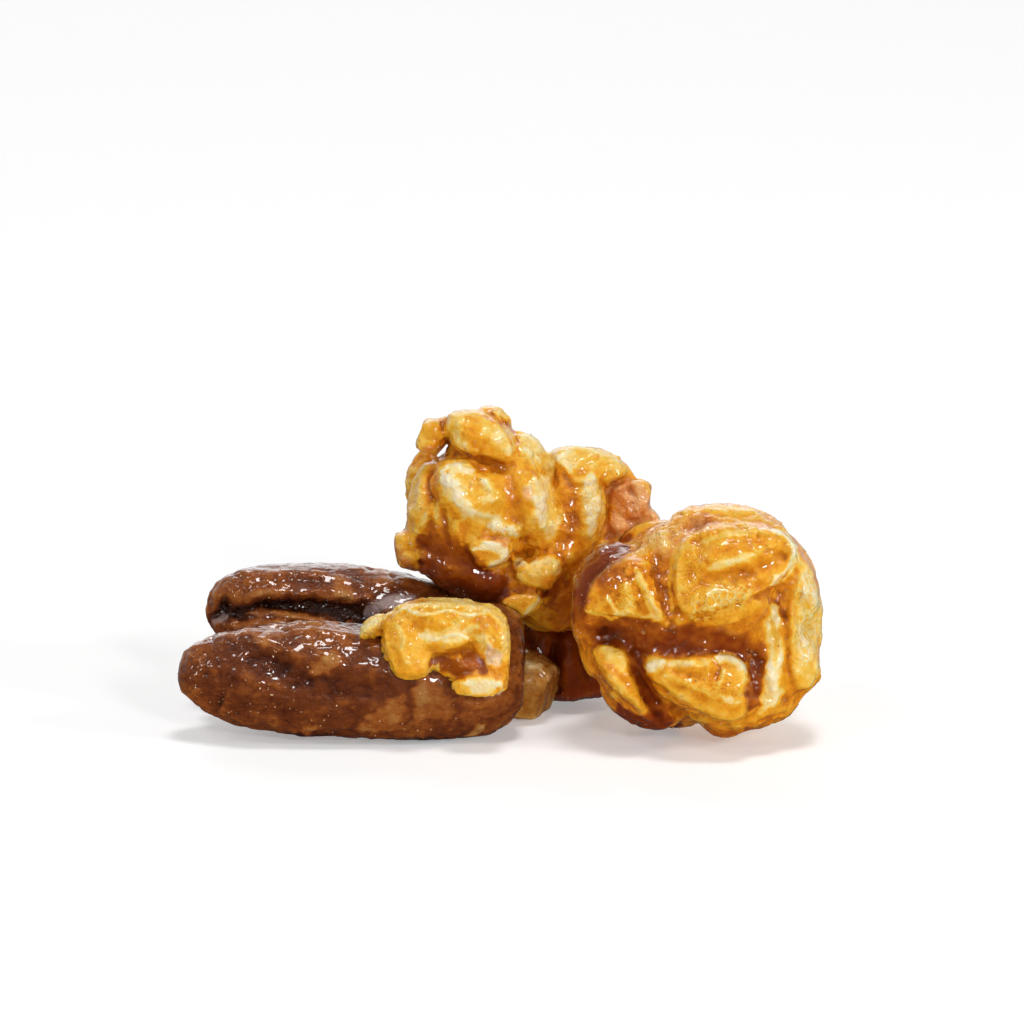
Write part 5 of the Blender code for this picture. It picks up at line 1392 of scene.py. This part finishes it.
def nut_material(name, stops, mottle, veins, ripples, sugar):
    """Nut with fine lengthwise creases, under a thin sugar glaze."""
    material, tree, shader = new_material(name)
    place = add_node(tree, "ShaderNodeTexCoord").outputs["Object"]
    along = add_node(tree, "ShaderNodeMapping", {"Vector": place, "Scale": (0.5, 1.0, 1.0)}).outputs[0]
    tone = mask(tree, "tone")
    shift = place_group(tree, mottle, {
        "Vector": place, "Blotch Scale": 450.0, "Grain Scale": 3000.0, "Grain Share": 0.35, "Amount": 0.5})
    creases = place_group(tree, veins, {"Vector": along, "Vein Scale": 900.0, "Sharpness": 10.0})
    value = maths(tree, "ADD", maths(tree, "ADD", tone, shift), maths(tree, "MULTIPLY", creases, -0.08), True)
    # Where the sheen mask is set, a pale pinkish grey is mixed in: a painted reflection.
    colour = mix_colour(tree, mask(tree, "sheen"), ramp(tree, value, stops), (0.40, 0.30, 0.28))
    tree.links.new(colour, shader.inputs["Base Color"])
    cover = place_group(tree, sugar, {
        "Vector": place, "Patch Scale": 480.0, "Grains": mask(tree, "grains"), "Amount": 0.55})
    height = place_group(tree, ripples, {
        "Vector": place, "Ripple Scale": 1000.0, "Grain Scale": 3600.0, "Line": creases, "Line Height": -0.3,
        "Calm": 0.3, "Sugar": cover})
    roughness = between(tree, value, 0.1, 0.8, 0.08, 0.18)
    glaze_shader(tree, shader, height, roughness, between(tree, tone, 0.2, 0.9, 1.0, 0.7), 0.12)
    return material


def sugar_material():
    """Clear sugar, cloudy where it is cracked."""
    material, tree, shader = new_material("sugar_grain")
    place = add_node(tree, "ShaderNodeTexCoord").outputs["Object"]
    colour = ramp(tree, noise(tree, place, 1600.0, 1.0), ((0.35, (0.36, 0.14, 0.04)), (0.65, (0.85, 0.60, 0.32))))
    tree.links.new(colour, shader.inputs["Base Color"])
    shader.inputs["Roughness"].default_value = 0.12
    shader.inputs["Coat Weight"].default_value = 0.5
    return material


def bubble_material():
    """Blisters of set caramel."""
    material, tree, shader = new_material("caramel_bubble")
    place = add_node(tree, "ShaderNodeTexCoord").outputs["Object"]
    colour = ramp(tree, noise(tree, place, 900.0, 1.0), ((0.35, (0.22, 0.05, 0.008)), (0.65, (0.52, 0.19, 0.05))))
    tree.links.new(colour, shader.inputs["Base Color"])
    shader.inputs["Roughness"].default_value = 0.08
    shader.inputs["Coat Weight"].default_value = 1.0
    shader.inputs["Subsurface Weight"].default_value = 0.3
    shader.inputs["Subsurface Scale"].default_value = 0.0005
    return material


# Small things scattered on the skins


def scatter_tree(name, cover, ball, squash):
    """Scatters turned copies of one small squashed ball where the cover mask is high."""
    tree = bpy.data.node_groups.new(name, "GeometryNodeTree")
    for socket, kind in (
        ("Geometry", "NodeSocketGeometry"), ("Density", FLOAT), ("Smallest", FLOAT), ("Largest", FLOAT),
        ("Clump Scale", FLOAT), ("Seed", "NodeSocketInt"), ("Material", "NodeSocketMaterial"),
    ):
        tree.interface.new_socket(name=socket, in_out="INPUT", socket_type=kind)
    tree.interface.new_socket(name="Geometry", in_out="OUTPUT", socket_type="NodeSocketGeometry")
    given = tree.nodes.new("NodeGroupInput").outputs
    named = add_node(tree, "GeometryNodeInputNamedAttribute", {"Name": cover}, data_type="FLOAT")
    amount = named.outputs["Attribute"]
    place = add_node(tree, "GeometryNodeInputPosition").outputs["Position"]
    clumps = between(tree, noise(tree, place, given["Clump Scale"], 2.0), 0.42, 0.66, 0.06, 1.0)
    thick = maths(tree, "MULTIPLY", maths(tree, "MULTIPLY", amount, clumps), given["Density"])
    spread = add_node(tree, "GeometryNodeDistributePointsOnFaces", {
        "Mesh": given["Geometry"], "Density": thick, "Seed": given["Seed"]}, distribute_method="RANDOM")
    turn = add_node(tree, "FunctionNodeRandomValue", {
        "Min": (0, 0, 0), "Max": (6.28, 6.28, 6.28), "Seed": given["Seed"]}, data_type="FLOAT_VECTOR").outputs[0]
    sizes = add_node(tree, "FunctionNodeRandomValue", data_type="FLOAT")
    tree.links.new(given["Smallest"], sizes.inputs[2])
    tree.links.new(given["Largest"], sizes.inputs[3])
    tree.links.new(given["Seed"], sizes.inputs["Seed"])
    scale = add_node(
        tree, "ShaderNodeVectorMath", {0: squash, "Scale": sizes.outputs[1]}, operation="SCALE").outputs[0]
    copies = add_node(tree, "GeometryNodeInstanceOnPoints", {
        "Points": spread.outputs["Points"],
        "Instance": add_node(tree, "GeometryNodeMeshIcoSphere", ball).outputs["Mesh"],
        "Rotation": turn, "Scale": scale})
    real = add_node(tree, "GeometryNodeRealizeInstances", {"Geometry": copies.outputs["Instances"]})
    finish = add_node(tree, "GeometryNodeSetMaterial", {
        "Geometry": real.outputs["Geometry"], "Material": given["Material"]})
    tree.links.new(finish.outputs["Geometry"], tree.nodes.new("NodeGroupOutput").inputs["Geometry"])
    return tree


def scatter(name, host, tree, values, slot):
    """Runs the tree on the joined skins and keeps what it scatters as one plain mesh."""
    modifier = host.modifiers.new(name, "NODES")
    modifier.node_group = tree
    for item in tree.interface.items_tree:
        if item.in_out == "INPUT" and item.name in values:
            modifier[item.identifier] = values[item.name]
    mesh = bpy.data.meshes.new_from_object(host.evaluated_get(bpy.context.evaluated_depsgraph_get()))
    host.modifiers.remove(modifier)
    mesh.name = name
    obj = bpy.data.objects.new(name, mesh)
    bpy.context.scene.collection.objects.link(obj)
    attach(obj, "root")
    return obj


def joined_skins(pieces):
    """One mesh with every piece's skin and its grain and bubble masks."""
    points, faces, masks, first = [], [], {"grains": [], "bubbles": []}, 0
    for piece in pieces:
        mesh = piece.data
        place = np.empty(3 * len(mesh.vertices), np.float32)
        mesh.vertices.foreach_get("co", place)
        corners = np.empty(len(mesh.loops), np.int32)
        mesh.loops.foreach_get("vertex_index", corners)
        points.append(place.reshape(-1, 3))
        faces.append(corners.reshape(-1, 4) + first)
        first += len(mesh.vertices)
        for cover, values in masks.items():
            share = np.empty(len(mesh.vertices), np.float32)
            mesh.attributes[cover].data.foreach_get("value", share)
            values.append(share)
    return new_object("scatter_host", np.concatenate(points), np.concatenate(faces), None, {
        cover: np.concatenate(values) for cover, values in masks.items()})


def add_scatter(pieces):
    host = joined_skins(pieces)
    grains = scatter_tree("scatter_grains", "grains", {"Radius": 0.6, "Subdivisions": 1}, (1.0, 0.75, 0.55))
    scatter("sugar_grains", host, grains, {
        "Density": GRAIN_DENSITY, "Smallest": GRAIN_SIZES[0] * MM, "Largest": GRAIN_SIZES[1] * MM,
        "Clump Scale": 500.0, "Seed": 5, "Material": sugar_material(),
    }, "glazed_popcorn")
    bubbles = scatter_tree("scatter_bubbles", "bubbles", {"Radius": 1.0, "Subdivisions": 2}, (1.0, 1.0, 1.0))
    blisters = scatter("caramel_bubbles", host, bubbles, {
        "Density": BUBBLE_DENSITY, "Smallest": BUBBLE_SIZES[0] * MM, "Largest": BUBBLE_SIZES[1] * MM,
        "Clump Scale": 700.0, "Seed": 3, "Material": bubble_material(),
    }, "dark_caramel")
    blisters.data.shade_smooth()
    bpy.data.objects.remove(host)


# Studio


def add_camera():
    camera = bpy.data.cameras.new("camera")
    camera.sensor_width = SENSOR
    camera.lens = SENSOR * CAMERA_AWAY / (PHOTO_SIZE / PHOTO_SCALE)
    camera.clip_start, camera.clip_end = 0.1, 10
    obj = bpy.data.objects.new("camera", camera)
    bpy.context.scene.collection.objects.link(obj)
    across = (PHOTO_SIZE / 2 - PHOTO_ORIGIN[0]) / PHOTO_SCALE
    up = (PHOTO_ORIGIN[1] - PHOTO_SIZE / 2) / PHOTO_SCALE
    obj.location = seen(across, up, CAMERA_AWAY)
    obj.rotation_euler = (math.pi / 2 - VIEW_TILT, 0, 0)
    bpy.context.scene.camera = obj


def add_area(name, place, size, power):
    light = bpy.data.lights.new(name, "AREA")
    light.shape = "DISK"
    light.size = size
    light.energy = power
    obj = bpy.data.objects.new(name, light)
    obj.location = place
    obj.rotation_euler = (Vector(LIGHT_TARGET) - Vector(place)).to_track_quat("-Z", "Y").to_euler()
    bpy.context.scene.collection.objects.link(obj)


def add_studio():
    world = bpy.data.worlds.new("studio")
    world.use_nodes = True
    tree = world.node_tree
    side = add_node(tree, "ShaderNodeSeparateXYZ", {0: add_node(tree, "ShaderNodeTexCoord").outputs["Generated"]})
    sky = between(tree, side.outputs["Z"], -0.6, 0.6, 0.03, 0.15)
    low = between(tree, side.outputs["Z"], 0.3, 0.7, 1.0, 0.0)
    above = between(tree, side.outputs["Z"], -0.42, 0.1, 0.0, 1.0)
    behind = between(tree, side.outputs["Y"], 0.3, 0.95, 0.0, 0.6)
    backdrop = maths(tree, "MULTIPLY", behind, maths(tree, "MULTIPLY", low, above))
    background = tree.nodes["Background"]
    background.inputs["Color"].default_value = (1, 1, 1, 1)
    tree.links.new(maths(tree, "ADD", sky, backdrop), background.inputs["Strength"])
    bpy.context.scene.world = world
    corners = [
        (FLOOR_REACH * side, FLOOR_REACH * end, FLOOR_HEIGHT) for side, end in ((-1, -1), (1, -1), (1, 1), (-1, 1))]
    material, _, shader = new_material("floor_paper")
    shader.inputs["Base Color"].default_value = (0.78, 0.78, 0.78, 1)
    shader.inputs["Emission Color"].default_value = (1, 1, 1, 1)
    shader.inputs["Emission Strength"].default_value = 0.29
    shader.inputs["Roughness"].default_value = 0.9
    shader.inputs["Specular IOR Level"].default_value = 0.1
    floor = new_object("floor", corners, [(0, 1, 2, 3)], material, {})
    floor.visible_glossy = False
    for name, (place, size, power) in LIGHTS.items():
        add_area(name, place, size, power)
    bpy.context.scene.view_settings.view_transform = "Standard"


def main():
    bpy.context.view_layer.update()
    shared = mottle_group(), vein_group(), ripple_group(), sugar_group()
    corn = popcorn_material(*shared)
    nut_skin = nut_material("pecan_skin", SKIN_STOPS, *shared)
    nut_meat = nut_material("pecan_meat", MEAT_STOPS, *shared)

    pecan = nut_field(PECAN, pecan_field(PECAN))
    mushroom, butterfly, dark, crumb = (kernel_field(spec) for spec in (MUSHROOM, BUTTERFLY, DARK, CRUMB))
    piece = nut_field(PIECE, lobe_field(PIECE), 0.8)
    for field, node in (
        (pecan, "pecan_half"),
        (mushroom, "popcorn_mushroom"),
        (butterfly, "popcorn_butterfly"),
        (dark, "popcorn_dark"),
        (crumb, "popcorn_crumb"),
        (piece, "pecan_piece"),
    ):
        keep_in_box(field, node)
    for field, neighbour in (
        (crumb, pecan),
        (butterfly, pecan),
        (butterfly, mushroom),
        (dark, pecan),
        (dark, mushroom),
        (dark, butterfly),
        (piece, pecan),
        (piece, dark),
    ):
        keep_clear(field, neighbour)

    pieces = [
        make_nut("pecan_half_skin", "pecan_half", PECAN, pecan, nut_skin, 0.44),
        make_nut("pecan_piece_skin", "pecan_piece", PIECE, piece, nut_meat, 0.55),
        make_kernel("round_kernel", "popcorn_mushroom", MUSHROOM, mushroom, corn),
        make_kernel("winged_kernel", "popcorn_butterfly", BUTTERFLY, butterfly, corn),
        make_kernel("dark_kernel", "popcorn_dark", DARK, dark, corn),
        make_kernel("kernel_crumb", "popcorn_crumb", CRUMB, crumb, corn),
    ]
    add_scatter(pieces)

    add_camera()
    add_studio()


main()
